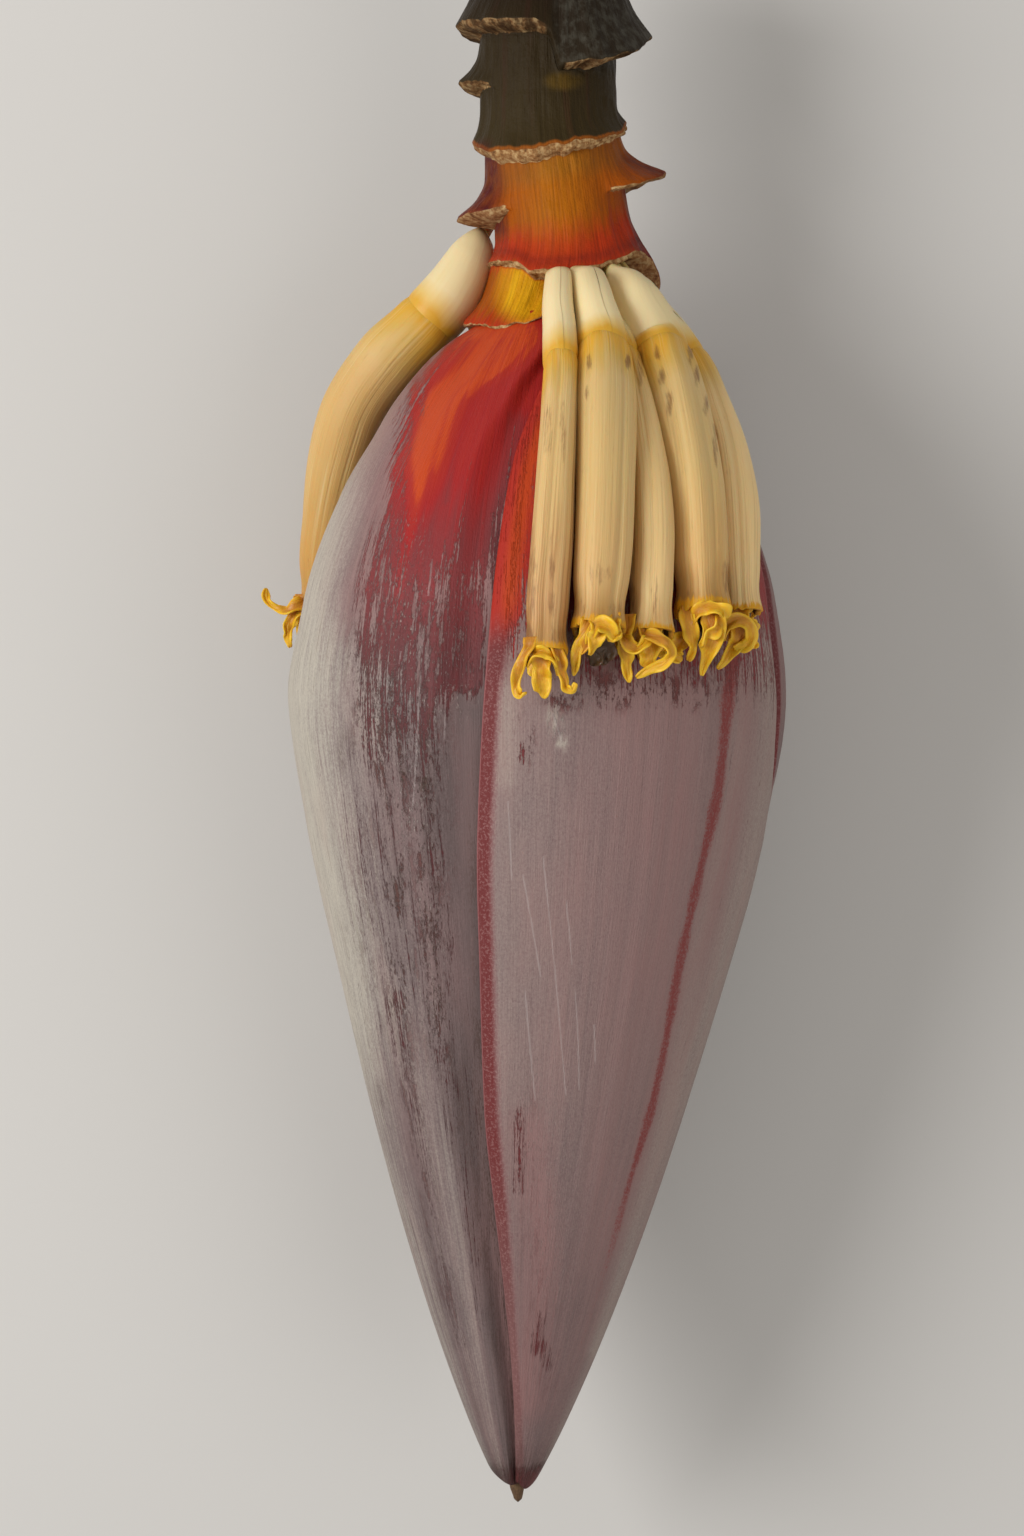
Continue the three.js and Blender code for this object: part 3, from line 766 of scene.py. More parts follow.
# Where the left bract's bare shoulder meets the wax: at its side, then at its foot.
LEFT_WAX_SIDE = [
    (-14.4, 65.7), (-19.3, 60.5), (-22.0, 54.5), (-23.2, 48.4), (-24.5, 42.5), (-25.4, 36.4),
    (-26.6, 30.2), (-27.7, 24.3), (-29.2, 18.0), (-30.6, 7.2), (-31.7, 0.0),
]
LEFT_WAX_FOOT = [
    (-33.8, 9.0), (-27.5, 5.8), (-23.0, 1.1), (-17.6, -0.4), (-10.8, 1.8), (-8.3, 2.9),
]
# How pale its wax is at each angle: palest on the left flank, and lowest towards the front seam, partly as
# painted shade beside the right bract's margin.
LEFT_PALENESS_AND_SHADE = [
    (-150, 0.5), (-110, 0.85), (-90, 1.0), (-70, 0.94), (-59, 0.8), (-49, 0.56), (-42, 0.42),
    (-36, 0.3), (-25, 0.12), (-17, 0.02), (-8, 0.0),
]
# The bright streak down its shoulder, and how far the streak reaches to its sides.
LEFT_SPINE = [
    (-6.8, 64.8), (-10.1, 60.5), (-16.4, 54.5), (-18.5, 48.4), (-20.2, 42.5), (-21.4, 36.4),
    (-22.7, 30.2), (-24.3, 24.3), (-25.4, 18.2), (-25.9, 14.0),
]
LEFT_SPINE_REACH = [
    (14.0, 0.5), (18.2, 0.9), (24.3, 1.3), (30.2, 1.8), (36.4, 2.6), (42.5, 3.6), (48.4, 4.0),
    (54.5, 4.6), (60.5, 7.0), (64.8, 8.0),
]
# Soft strokes on it: strength, half width and points.
LEFT_VEILED = [
    (0.36, 2.0, [(-4.0, 48.6), (-5.4, 39.6), (-6.5, 30.6), (-7.0, 21.6), (-8.3, 7.2)]),
    (0.3, 0.5, [(-11.2, 48.6), (-13.0, 36.0), (-14.9, 25.2)]),
]
LEFT_WORN = [
    (0.22, 2.0, [(-25.7, -54.0), (-23.0, -68.4), (-19.4, -86.4)]),
    (0.2, 1.6, [(-17.6, -63.0), (-13.7, -90.0), (-10.4, -113.4)]),
]
LEFT_COOL = [
    (0.14, 0.5, [(-12.2, 54.0), (-14.9, 45.0), (-16.6, 36.0)]),
    (0.22, 2.4, [(-3.6, 49.5), (-5.4, 41.4), (-6.5, 30.6), (-7.2, 18.0)]),
]
LEFT_PECKED = [
    (0.8, 2.0, [(-25.9, 3.6), (-25.7, -10.8), (-25.9, -23.4), (-25.2, -41.4), (-24.1, -54.0)]),
    (1.0, 1.5, [(-20.5, 1.8), (-20.5, -14.4), (-19.8, -32.4), (-19.1, -46.8), (-17.6, -64.8)]),
    (0.7, 2.4, [(-31.0, 10.8), (-30.2, 0.0), (-29.2, -12.6)]),
    (0.6, 1.6, [(-25.6, -55.8), (-22.0, -75.6), (-18.4, -97.2), (-13.7, -115.2)]),
]
LEFT_CHIPPED = [
    (0.7, 4.4, [(-25.2, 28.8), (-25.6, 18.0), (-24.5, 3.6), (-22.7, -7.2), (-22.7, -18.0)]),
    (0.5, 5.0, [(-17.6, 18.0), (-17.3, 9.0), (-15.8, 1.8)]),
    (0.5, 4.0, [(-23.0, -21.6), (-21.2, -36.0), (-19.4, -64.8)]),
]
LEFT_SOILED = [
    (0.3, 1.6, [(-25.6, -5.4), (-25.6, -23.4), (-24.8, -46.8)]),
    (0.42, 1.2, [(-20.2, -7.2), (-19.8, -32.4), (-18.4, -55.8)]),
]
# Soft ovals on it: strength, centre and half sizes.
LEFT_BARE_SPOTS = [(0.3, (-14.9, 3.2), (5.0, 2.0)), (0.25, (-10.8, 10.8), (2.2, 9.0))]
LEFT_SCARS = [
    (0.5, (-34.7, -9.2), (1.8, 4.4)), (1.0, (-24.5, -13.5), (1.0, 1.8)), (0.5, (-23.9, -38.0), (0.9, 2.0)),
    (0.6, (-28.1, -70.9), (1.4, 3.2)), (0.8, (-20.9, -14.8), (1.1, 1.8)), (0.7, (-18.4, -33.5), (1.0, 1.0)),
]
LEFT_SCRATCHES = [
    (1, [(-24.7, 9.0), (-25.0, 6.5)]),
    (-1, [(-21.1, 5.0), (-21.6, -3.6), (-22.1, -12.6), (-22.5, -19.1)]),
    (1, [(-19.1, 25.2), (-19.8, 18.7)]),
    (-1, [(-16.6, 1.8), (-16.9, -7.2)]),
]


def left_zones(y, angle, u, v):
    """The areas of the left bract that its looks share, each from 0 to 1."""
    ragged = 1.3 * noise(u / 1.1, v / 9, 31) + 0.8 * noise(u / 0.5, v / 4, 33)
    from_wax = u - up_line(LEFT_WAX_SIDE)(v)
    from_foot = v - curve_through(LEFT_WAX_FOOT)(u)
    spread = lerp(5.0, 8.0, smooth(v, 42, 16))
    bare = smooth((from_wax + ragged) / spread, -1.1, 1.0) * smooth(from_foot + 1.6 * ragged, -2.5, 1.5)
    return SimpleNamespace(
        top=smooth(np.cos(np.radians(angle)), -0.1, 0.15),
        bare=bare,
        near_wax=smooth(from_wax, -13, -2) * smooth(v, 6, 22),
        mottled=soft_box(u, v, (-37.4, -31.7), (-12.6, -17.6), (-81.0, -45.0), (28.8, 10.8)),
        streaky=soft_box(u, v, (-33.5, -29.9), (-15.8, -20.3), (-16.2, -3.6), (39.6, 25.2)),
        from_seam=angle - front_seam(y),
    )


def left_coat(zone, y, angle, u, v):
    """How much wax the left bract has, how pale and how rosy it is, with painted shade beside the front seam.
    """
    veil = -0.1 + 0.2 * smooth(v, 40, 30) + 0.32 * smooth(v, 32, 18)
    shreds = 0.4 + noise(u / 0.7, v / 10, 36) + 0.5 * noise(u / 0.35, v / 5, 38)
    veil = veil + 0.55 * shreds * smooth(v, 36, 14) * smooth(u, -13.0, -20.2)
    veil = veil + bands(u, v, LEFT_VEILED) - patches(u, v, LEFT_BARE_SPOTS)
    bloom = lerp(1.0, veil, zone.bare * zone.top)
    worn_and_shaded = 0.2 * zone.mottled + 0.24 * zone.streaky + bands(u, v, LEFT_WORN)
    # Bloom thinned towards the front seam lower down: painted shade beside the right bract's margin.
    worn_and_shaded = worn_and_shaded + 0.16 * smooth(zone.from_seam, -17, -6) * smooth(v, -20, -66)
    bloom = bloom - worn_and_shaded * zone.top - 0.5 * smooth(y, -134, -140)
    pale = curve_through(LEFT_PALENESS_AND_SHADE)(angle)
    pale = pale - 0.34 * smooth(v, -52, -84) * smooth(angle, -30, -52)
    pale = pale + 0.12 * smooth(v, -20, -70) * smooth(angle, -44, -30) - 0.08 * smooth(v, 20, 60)
    pale = pale + 0.16 * smooth(v, -58, -84) * smooth(angle, -50, -42) * smooth(angle, -24, -32)
    # Less pale towards the front seam: painted shade beside the right bract's margin.
    pale = pale - 0.16 * smooth(zone.from_seam, -9, -1) * smooth(v, -110, -70)
    pale = pale - 0.26 * smooth(zone.from_seam, -17, -5) * smooth(v, -50, -80) * smooth(v, -128, -108)
    pale = pale + 0.12 * zone.streaky - 0.34 * zone.near_wax
    rosy = 0.1 * smooth(angle, -70, -40) + 0.6 * zone.near_wax + 0.3 * zone.bare
    rosy = rosy + 0.7 * smooth(zone.from_seam, -11, -2) * smooth(v, -84, -112)
    return np.column_stack([np.clip(bloom, 0, 1.2), pale, np.clip(rosy, 0, 1)])


def left_skin(zone, y, u, v):
    """How warm the left bract's bare skin is, and where it has brown marks and painted shade beside the front
    seam.
    """
    spine = stroke(u, v, LEFT_SPINE, 1.0)
    reach = curve_through(LEFT_SPINE_REACH)(v)
    glow = (1 - smooth(np.abs(spine) / reach, 0.1, 1.6)) * (1 + 0.5 * noise(spine / 1.1, v / 16, 35))
    warmth = 0.26 * smooth(v, 4, 24) + 0.3 * smooth(v, 26, 46) + 0.08
    warmth = warmth + lerp(0.12, 0.44, smooth(v, 22, 46)) * glow - bands(u, v, LEFT_COOL)
    soiled = patches(u, v, LEFT_SCARS) + bands(u, v, LEFT_SOILED)
    # Painted shadow: brown darkening beside the front seam, where the right bract's margin lies over this
    # bract.
    soiled = soiled + 0.4 * smooth(zone.from_seam, -5, -1.5) * smooth(v, 6, -30)
    # Painted shade further from the seam lower down, broken up by the speckled brown of the marks.
    soiled = soiled + 0.45 * smooth(zone.from_seam, -22, -8) * smooth(v, -40, -80)
    soiled = soiled * zone.top + 0.7 * smooth(y, -132, -138) + 0.2 * smooth(y, 66, 69)
    return np.column_stack([np.clip(warmth * zone.top, 0, 1), np.clip(soiled, 0, 1), 0 * y])


def left_looks(y, angle, u, v):
    """The fields of the left bract: coat, skin, wear, scratch lines and its margin's warmth."""
    zone = left_zones(y, angle, u, v)
    pecked = bands(u, v, LEFT_PECKED) + 0.3 * zone.mottled
    chipped = bands(u, v, LEFT_CHIPPED)
    ribbed = 0.32 + 0.42 * smooth(angle, -30, -50) + 0.3 * smooth(v, -50, -90)
    wear = np.column_stack([np.clip(pecked, 0, 1) * zone.top, np.clip(chipped, 0, 1) * zone.top, ribbed])
    line = scratch_lines(u, v, LEFT_SCRATCHES)
    line[:, 1] *= zone.top > 0.5
    return left_coat(zone, y, angle, u, v), left_skin(zone, y, u, v), wear, line, 0 * y


# The right bract's old stripe, and the half width of the stripe at each height.
RIGHT_STRIPE = [
    (36.7, 25.2), (35.5, 10.8), (34.2, 0.0), (32.6, -14.9), (28.4, -34.2), (26.1, -44.6),
    (20.9, -71.6), (16.6, -86.4), (12.1, -102.6), (7.6, -117.0),
]
RIGHT_STRIPE_WIDTH = [(-117, 0.6), (-70, 0.8), (0, 1.2), (30, 1.5)]
# How pale its wax is at each angle; the rise towards its far right side is painted light that lifts the shade
# there.
RIGHT_PALENESS_AND_LIGHT = [(-18, 0.6), (-6, 0.54), (6, 0.48), (30, 0.5), (50, 0.54), (70, 0.6), (110, 0.5)]
# Where its wax thins out behind the free margin.
RIGHT_BESIDE_RIM = [(0.0, 48.6), (-1.4, 36.0), (-2.5, 25.2), (-3.4, 16.2), (-4.3, 9.0)]
# Soft strokes and ovals on it, as on the left bract.
RIGHT_WORN = [
    (0.42, 1.1, [(-3.4, -74.2), (-3.4, -88.6)]),
    (0.42, 1.1, [(0.5, -110.9), (-0.4, -117.0)]),
    (0.42, 1.1, [(1.3, -116.3), (1.6, -119.9)]),
]
RIGHT_PECKED = [(0.25, 3.0, [(-2.3, -72.0), (-0.5, -99.0), (1.3, -122.4)])]
RIGHT_CHIPPED = [(0.35, 5.0, [(-0.5, -68.4), (1.3, -90.0), (4.0, -108.0)])]
RIGHT_ROSY = [(0.45, 3.4, [(-2.2, -77.4), (-0.7, -100.8), (-1.4, -126.0)])]
RIGHT_SCUFF = [(2.7, -2.5), (4.3, -7.6)]
RIGHT_PECKED_SPOTS = [
    (1.0, (13.0, 1.8), (13.0, 4.0)), (0.9, (27.4, 1.8), (6.0, 4.0)),
    (0.8, (-2.3, -7.2), (2.0, 6.0)), (0.7, (4.0, 0.0), (3.0, 2.6)),
]
RIGHT_CHIPPED_SPOTS = [(1.0, (3.4, -4.3), (2.0, 3.6)), (0.5, (8.5, 0.0), (5.0, 2.6))]
RIGHT_SCRATCHES = [
    (1, [(-2.7, -31.5), (-1.1, -40.5), (0.5, -49.9)]),
    (-1, [(0.9, -28.3), (3.2, -50.4), (5.0, -71.1)]),
    (1, [(5.0, -36.2), (5.8, -43.2), (6.1, -47.9)]),
    (1, [(6.7, -52.6), (7.2, -61.2), (7.4, -70.0)]),
    (-1, [(10.1, -58.3), (10.3, -65.2)]),
    (1, [(-2.3, -52.6), (-1.4, -63.0), (-0.5, -72.0)]),
    (1, RIGHT_SCUFF),
    (-1, [(-5.4, -18.0), (-4.7, -32.4)]),
]


def right_looks(y, angle, u, v):
    """The fields of the right bract, in the same order as the left one's."""
    under_flowers = smooth(v, -6.3, 8.1) * smooth(u, 1.3, 7.6)
    beside_rim = band(u, v, RIGHT_BESIDE_RIM, 1.8)
    bloom = 1.02 - 0.1 * smooth(angle, 30, 60) - 0.42 * under_flowers - 0.3 * smooth(v, 8, 20)
    bloom = bloom - 0.6 * patch(u, v, (-3.1, -9.7), (1.0, 2.8)) - 0.5 * beside_rim
    bloom = bloom - bands(u, v, RIGHT_WORN) - 0.7 * smooth(y, -135, -139.5)
    pale = curve_through(RIGHT_PALENESS_AND_LIGHT)(angle)
    pale = pale - 0.14 * smooth(v, -60, -120)
    pale = pale + 0.16 * band(u - 2.4, v, RIGHT_STRIPE, 1.4) * smooth(v, 10, -10)
    scuff = band(u, v, RIGHT_SCUFF, 1.3) * (0.5 + noise(u / 0.5, v / 1.3, 46))
    # The scuff is paler; the rise past 50 degrees is painted light on the far right side.
    pale = pale + 0.5 * np.clip(scuff, 0, 1) + 0.1 * smooth(angle, 50, 66)
    pale = pale + 0.2 * band(u, v, [(-5.4, 1.8), (-5.8, -14.4)], 1.6)
    rosy = 0.42 + 0.34 * smooth(u, 0.4, 18.4) - 0.34 * smooth(angle, 52, 70) + bands(u, v, RIGHT_ROSY)
    width = curve_through(RIGHT_STRIPE_WIDTH)(v) * (1 + 0.3 * noise(v / 5, 3, 45))
    stripe = 1 - smooth(np.abs(stroke(u, v, RIGHT_STRIPE, 1.0)) / width, 0.3, 1.6)
    stripe = stripe * (1 - 0.75 * smooth(v, -78, -112))
    warmth = 0.22 + 0.2 * smooth(v, -10, 20) + 0.36 * beside_rim
    soiled = 0.9 * smooth(y, -131, -138.5) + 0.15 * smooth(y, 64, 68)
    pecked = patches(u, v, RIGHT_PECKED_SPOTS) + bands(u, v, RIGHT_PECKED)
    chipped = patches(u, v, RIGHT_CHIPPED_SPOTS) + bands(u, v, RIGHT_CHIPPED)
    coat = np.column_stack([np.clip(bloom, 0, 1.2), pale, np.clip(rosy, 0, 1)])
    skin = np.column_stack([warmth, np.clip(soiled, 0, 1), stripe])
    wear = np.column_stack([np.clip(pecked, 0, 1), np.clip(chipped, 0, 1), 0 * y + 0.12])
    rim_warmth = np.clip(1.1 * smooth(v, 2, 26), 0, 1)
    return coat, skin, wear, scratch_lines(u, v, RIGHT_SCRATCHES), rim_warmth


def back_looks(y, angle, u, v):
    """The fields of the back bract, which has no scratches and no stripe."""
    bloom = 0.92 + 0.14 * noise(angle / 11, y / 26, 41)
    bloom = bloom - 0.45 * smooth(y, 36, 56) - 0.3 * smooth(y, -118, -136)
    bloom = bloom - 0.25 * patch(angle, y, (180, -6), (34, 30))
    pale = 0.5 + 0.2 * noise(angle / 16 + 3, y / 60, 42) + 0.2 * smooth(angle, 195, 235)
    rosy = 0.35 + 0.25 * noise(angle / 20, y / 50, 43)
    warmth = 0.2 + 0.3 * smooth(y, 40, 62)
    soiled = 0.7 * smooth(y, -124, -138) + 0.35 * patch(angle, y, (176, -2), (16, 14))
    pecked = 0.5 * smooth(noise(angle / 14, y / 30, 44), 0.1, 0.6)
    shaded = smooth(y, -14, 2) * smooth(angle, 130, 110)
    coat = np.column_stack([bloom + 0.2 * shaded, pale, np.clip(rosy + 0.3 * shaded, 0, 1)])
    skin = np.column_stack([warmth, soiled, 0 * y])
    wear = np.column_stack([pecked, 0.4 * pecked, 0 * y + 0.4])
    line = np.column_stack([0 * y + NO_LINE, 0 * y, 0 * y])
    return coat, skin, wear, line, -0.3 * shaded


# ---- dry tip -------------------------------------------------------------------------


def seamless(turn):
    """0 at a tube's seam and 1 across from it, so that noise round a tube meets itself."""
    return np.sin(np.radians(turn / 2)) ** 2


def tube(name, rows, columns, rings):
    """A closed tube: rings(down, turn) gives points and fields, with turn in degrees."""
    piece, down, across = grid(name, rows, columns)
    points, uv, fields = rings(down, 360 * across)
    shape_grid(piece, points, uv, **fields)
    merge()
    return piece


# The dry point's y at each share of its rows, and its radius at each y.
DRY_COURSE = [
    (0, NECK_END - 1), (0.25, 10), (0.5, -70), (0.62, -126), (0.72, -137), (0.85, -141.5), (1, -144.4),
]
DRY_RADIUS = [(-136, 2.2), (-139, 2.0), (-141, 1.5), (-142.4, 1.2), (-143.6, 0.8), (-144.4, 0.0)]
DRY_START = -126


def dry_tip_rings(down, turn):
    """The inner bud's rings: snug inside the bracts, then a crinkled point past them."""
    y = curve_through(DRY_COURSE)(down)
    inner = np.maximum(bud_radius(y) - 2 * bract_thickness(y) - 1.9, 0.6)
    point = curve_through(DRY_RADIUS)(y)
    past = lerp(np.minimum(inner, 2.6), point, smooth(y, DRY_START, -136))
    radius = np.where(y > DRY_START, inner, past)
    shrunk = smooth(y, -130, -137) * smooth(down, 1.0, 0.94)
    crinkle = 0.5 * noise(turn / 30, y / 2.2, 51) + 0.24 * noise(turn / 12, y / 1.1, 52)
    crinkle = crinkle * seamless(turn)
    radius = radius * np.where(down <= 0, 0, 1) + crinkle * shrunk
    points = place(y, turn, radius)
    points[:, 0] += 0.5 * smooth(y, -138, -145)
    uv = np.column_stack([turn * 0.12, y])
    return points, uv, {"dryness": np.clip(0.5 + crinkle, 0, 1)}


def dry_finish(look):
    """Brown papery flakes."""
    r = Recipe("dry_tip_finish", Specular_IOR_Level=0.35)
    flake = r.solid_noise(900.0, 4.0, 0.65)
    fibre = r.grain(1.6, 0.5, 3.0, 0.6)
    shade = r.add(r.times(flake, 0.6), (fibre, 0.5))
    colour = r.ramp(shade, [(0.3, look.dry_dark), (0.52, look.dry_brown), (0.72, look.dry_straw)])
    r.bump(shade, 0.0005)
    return r.finish(colour, r.window(flake, 0.3, 0.7, 0.55, 0.85))


# ---- stalk ---------------------------------------------------------------------------


def around(points, column):
    """A smooth curve round the stalk through points whose first number is their angle."""
    turned = [(point[0] + 360 * lap, point[column]) for point in points for lap in (-1, 0, 1)]
    return curve_through(turned)


# Rows of a collar's body, lip and torn scar, and of the stalk's two ends.
BODY_ROWS = 16
LIP_ROWS = 2
SCAR_ROWS = 7
CUT_ROWS = 6
NECK_ROWS = 4
STALK_ROWS = CUT_ROWS + len(COLLARS) * (BODY_ROWS + LIP_ROWS + SCAR_ROWS) + NECK_ROWS
TOP_EDGE = STALK_TOP - 1.4
# The collar whose scar is the bed that the flowers sat in, and the bed's middle angle.
BED_COLLAR = 4
BED_ANGLE = 42
LAST_COLLAR = len(COLLARS) - 1


def collar_rows(k, angle, foot, foot_radius):
    """One collar's rows from the foot above it: y, radius, how torn it is and the section's number.
    The foot of its torn scar comes with them."""
    points = COLLARS[k]
    shape = curve_through(COLLAR_SHAPE)
    flat = 0 * angle
    bed = smooth(78 - np.abs(angle - BED_ANGLE), 0, 30)
    tooth = noise(angle / 8.5, k * 3, 61) + 0.55 * noise(angle / 3.3, k * 3, 62)
    flare = around(points, 2)(angle)
    open_scar = smooth(flare, 0.2, 1.3)
    lip = around(points, 1)(angle) + 0.3 * tooth * open_scar
    open_scar = open_scar * (1 - (k == 0) * np.exp(-(((angle - 5) / 7) ** 2)))
    flare = flare * (1 + 0.1 * noise(angle / 11, k * 5, 63))
    drop = np.maximum(SCAR_SHARE[k] * around(points, 3)(angle), lerp(1.6, 0.5, open_scar))
    reach = STALK_RADIUS + flare
    rows = []
    for step in range(1, BODY_ROWS + 1):
        share = step / BODY_ROWS
        rib = 0.34 * noise(angle / 10, share + k * 7, 64) + 0.16 * noise(angle / 4.1, share * 2 + k, 65)
        rib = rib * math.sin(math.pi * min(share + 0.06, 1)) ** 0.5
        radius = lerp(foot_radius, reach, shape(share)) + rib
        rows.append((lerp(foot, lip, share), radius, flat, k + share))
    fray = noise(angle / 4.6, k * 9, 66)
    lobed = noise(angle / 12, k * 9 + 4, 68)
    rows.append((lip - 0.3, reach + 0.12 * open_scar, 0.45 * open_scar, k + 0.99))
    rows.append((lip - 0.55, reach - (0.05 - 0.1 * fray) * open_scar, open_scar, k + 1))
    end_radius = STALK_RADIUS - 0.1 * open_scar - (RECESS_DEPTH * bed if k >= BED_COLLAR else 0)
    if k == BED_COLLAR:
        end_radius = end_radius + 0.9 * smooth(-angle, 36, 58) * smooth(-angle, 150, 120)
    if k == LAST_COLLAR:
        end_radius = np.minimum(reach - 0.8, STALK_RADIUS) + flat
    for step in range(1, SCAR_ROWS + 1):
        share = step / SCAR_ROWS
        crumple = (0.32 * fray + 0.3 * lobed + 0.2 * noise(angle / 6, step * 0.9 + k, 69)) * open_scar
        belly = 0.55 * math.sin(math.pi * share) ** 0.8 * open_scar
        turn_in = share ** (1.25 + 1.8 * bed * (k == BED_COLLAR))
        radius = lerp(reach - 0.2 * open_scar, end_radius, turn_in)
        radius = radius + (crumple + belly) * math.sin(math.pi * share) ** 0.6
        hang = 0.4 * open_scar * (lobed + 0.6 * fray) * share
        below = lip - 0.55 - (drop - 0.3) * share - hang * (share < 1)
        rows.append((below, radius, open_scar * (1 - 0.2 * share), k + 1))
    return rows, lip - 0.25 - drop, end_radius


def stalk_profile(angle):
    """The stalk's rows at each angle, from the middle of its cut face down to the neck's end."""
    flat = 0 * angle
    cut_face = 0.3 * noise(angle / 25, 3, 60)
    rows = [
        (flat + STALK_TOP - 0.5, flat, flat + 1.0, 0),
        (STALK_TOP - 0.5 + cut_face, flat + 4.0, flat + 1.0, 0),
        (STALK_TOP - 0.3 - cut_face, flat + 8.0, flat + 1.0, 0),
        (flat + STALK_TOP, flat + STALK_RADIUS - 1.2, flat + 0.8, 0),
        (flat + STALK_TOP - 0.5, flat + STALK_RADIUS - 0.35, flat + 0.3, 0),
        (flat + TOP_EDGE, flat + STALK_RADIUS, flat, 0),
    ]
    foot = flat + TOP_EDGE
    foot_radius = flat + STALK_RADIUS
    for k in range(len(COLLARS)):
        collar, foot, foot_radius = collar_rows(k, angle, foot, foot_radius)
        rows += collar
    rows += [
        (np.maximum(foot, flat + 66.0) + 0.2, flat + 9.5, flat + 0.4, 6),
        (flat + NECK_TOP - 2.7, flat + NECK_RADIUS, flat, 6),
        (flat + NECK_END, flat + NECK_RADIUS - 0.6, flat, 6),
        (flat + NECK_END, flat, flat, 6),
    ]
    return rows


def stalk_rings(down, turn):
    """The stalk's points, and where it is dark, purple, amber, torn or under the hood."""
    angle = np.where(turn > 180, turn - 360, turn)
    row = np.rint(down * (STALK_ROWS - 1)).astype(int)
    y = np.empty(len(down))
    radius = np.empty(len(down))
    torn = np.empty(len(down))
    section = np.empty(len(down))
    for index, (ys, radii, tears, number) in enumerate(stalk_profile(angle)):
        here = row == index
        y[here] = ys[here]
        radius[here] = radii[here]
        torn[here] = tears[here]
        section[here] = number
    points = place(y, angle, radius)
    u, v = faced(points)
    uv = np.column_stack([angle * 0.213, y])
    hood = smooth(y, 110, 114) * smooth(angle, 0, 12) * smooth(angle, 150, 120) * (1 - torn)
    dark = np.maximum(smooth(y, 100, 116) * 0.5, hood) + 0.5 * smooth(np.abs(angle), 100, 150)
    red_scar = smooth(angle, 50, 76) * smooth(y, 84, 80) * smooth(y, 69, 72)
    lip_line = np.exp(-((y - around(COLLARS[BED_COLLAR], 1)(angle) - 1.2) / 0.9) ** 2)
    wing = smooth(y, 80, 84) * smooth(y, 101, 97) * smooth(angle, -46, -62)
    wing = wing + smooth(y, 74, 78) * smooth(y, 100, 96) * smooth(angle, 60, 84)
    left_flank = smooth(u, -7, -11) * smooth(y, 77, 80) * smooth(y, 99, 96)
    purple = np.clip(0.45 * lip_line + 0.9 * red_scar + 0.9 * wing + 0.45 * left_flank, 0, 1)
    amber = 0.18 * band(u, v, [(4.0, 96.1), (3.2, 91.8), (3.2, 89.1)], 6.0) * (section > 3)
    amber = amber + 1.3 * band(u, v, [(-1.4, 77.0), (-2.0, 72.7)], 4.4, 0.7) * (section > 5)
    amber = amber + 0.12 * patch(u, v, (4.5, 111.4), (3.6, 1.8))
    stem = np.column_stack([section / 6, torn, np.clip(amber, 0, 1)])
    tint = np.column_stack([np.clip(dark, 0, 1), purple, hood])
    return points, uv, {"stem": stem, "tint": tint}


def stalk_finish(look):
    """Dark olive at the top, then ochre, orange and red, with brown and cream torn tissue."""
    r = Recipe("stalk_finish", Specular_IOR_Level=0.06)
    length, torn, amber = r.parts("stem")
    dark, purple, hood = r.parts("tint")
    rib = r.grain(0.5, 0.03, 4.0, 0.6)
    thread = r.grain(2.2, 0.09, 3.0, 0.6, 5.0)
    mottle = r.grain(0.8, 0.5, 4.0, 0.6, 9.0)
    crumb = r.solid_noise(1100.0, 4.0, 0.65)
    wander = r.add(r.times(r.centred(mottle), 0.06), (r.centred(rib), 0.12))
    along = r.add(length, (wander, r.window(length, 0.5, 0.58)))
    skin = r.ramp(along, [
        (0.0, look.stalk_dark), (0.12, look.stalk_dark),
        (0.2, look.stalk_olive), (0.492, look.stalk_olive),
        (0.499, look.stalk_ochre), (0.57, look.stalk_ochre),
        (0.64, look.stalk_orange), (0.7, look.stalk_orange),
        (0.77, look.stalk_red), (0.835, look.stalk_red),
        (0.86, look.stalk_orange), (0.95, look.stalk_orange), (1.0, look.stalk_red),
    ])
    skin = r.blend(r.times(amber, r.window(rib, 0.3, 0.7, 0.55, 1.0)), skin, look.stalk_yellow)
    skin = r.blend(r.times(purple, r.window(mottle, 0.3, 0.7, 0.6, 1.0)), skin, look.stalk_purple)
    skin = r.blend(r.window(rib, 0.52, 0.8, 0.0, 0.3), skin, look.stalk_purple)
    skin = r.blend(r.times(dark, 0.85), skin, look.stalk_dark)
    # Painted reflection: a blue-grey sheen on the dark hood, over its bloom.
    skin = r.blend(r.times(hood, r.window(mottle, 0.4, 0.66, 0.06, 0.4)), skin, look.hood_bloom_and_sheen)
    skin = r.blend(r.window(thread, 0.35, 0.6, 0.25, 0.0), skin, look.stalk_dark)
    frayed = r.ramp(r.add(r.times(mottle, 0.45), (crumb, 0.6)), [
        (0.36, look.torn_brown), (0.5, look.torn_tan), (0.62, look.torn_cream),
    ])
    frayed = r.blend(r.times(dark, 0.8), frayed, look.torn_brown)
    frayed = r.blend(r.times(dark, r.window(mottle, 0.42, 0.62, 1.5, 0.3)), frayed, look.stalk_dark)
    frayed = r.blend(r.times(purple, 0.3), frayed, look.stalk_purple)
    ripped = r.window(r.add(torn, (r.centred(mottle), 0.3)), 0.45, 0.7)
    colour = r.blend(ripped, skin, frayed)
    height = r.add(r.times(rib, 0.7), (thread, 0.4), (mottle, 0.3), (crumb, 0.4))
    r.bump(height, 0.0005)
    return r.finish(colour, r.window(ripped, 0.0, 1.0, 0.42, 0.8))


# ---- flowers -------------------------------------------------------------------------

# How square the tubes' sections are: 1 is an oval.
SQUARENESS = 0.84
LEFT_SQUARENESS = 0.96

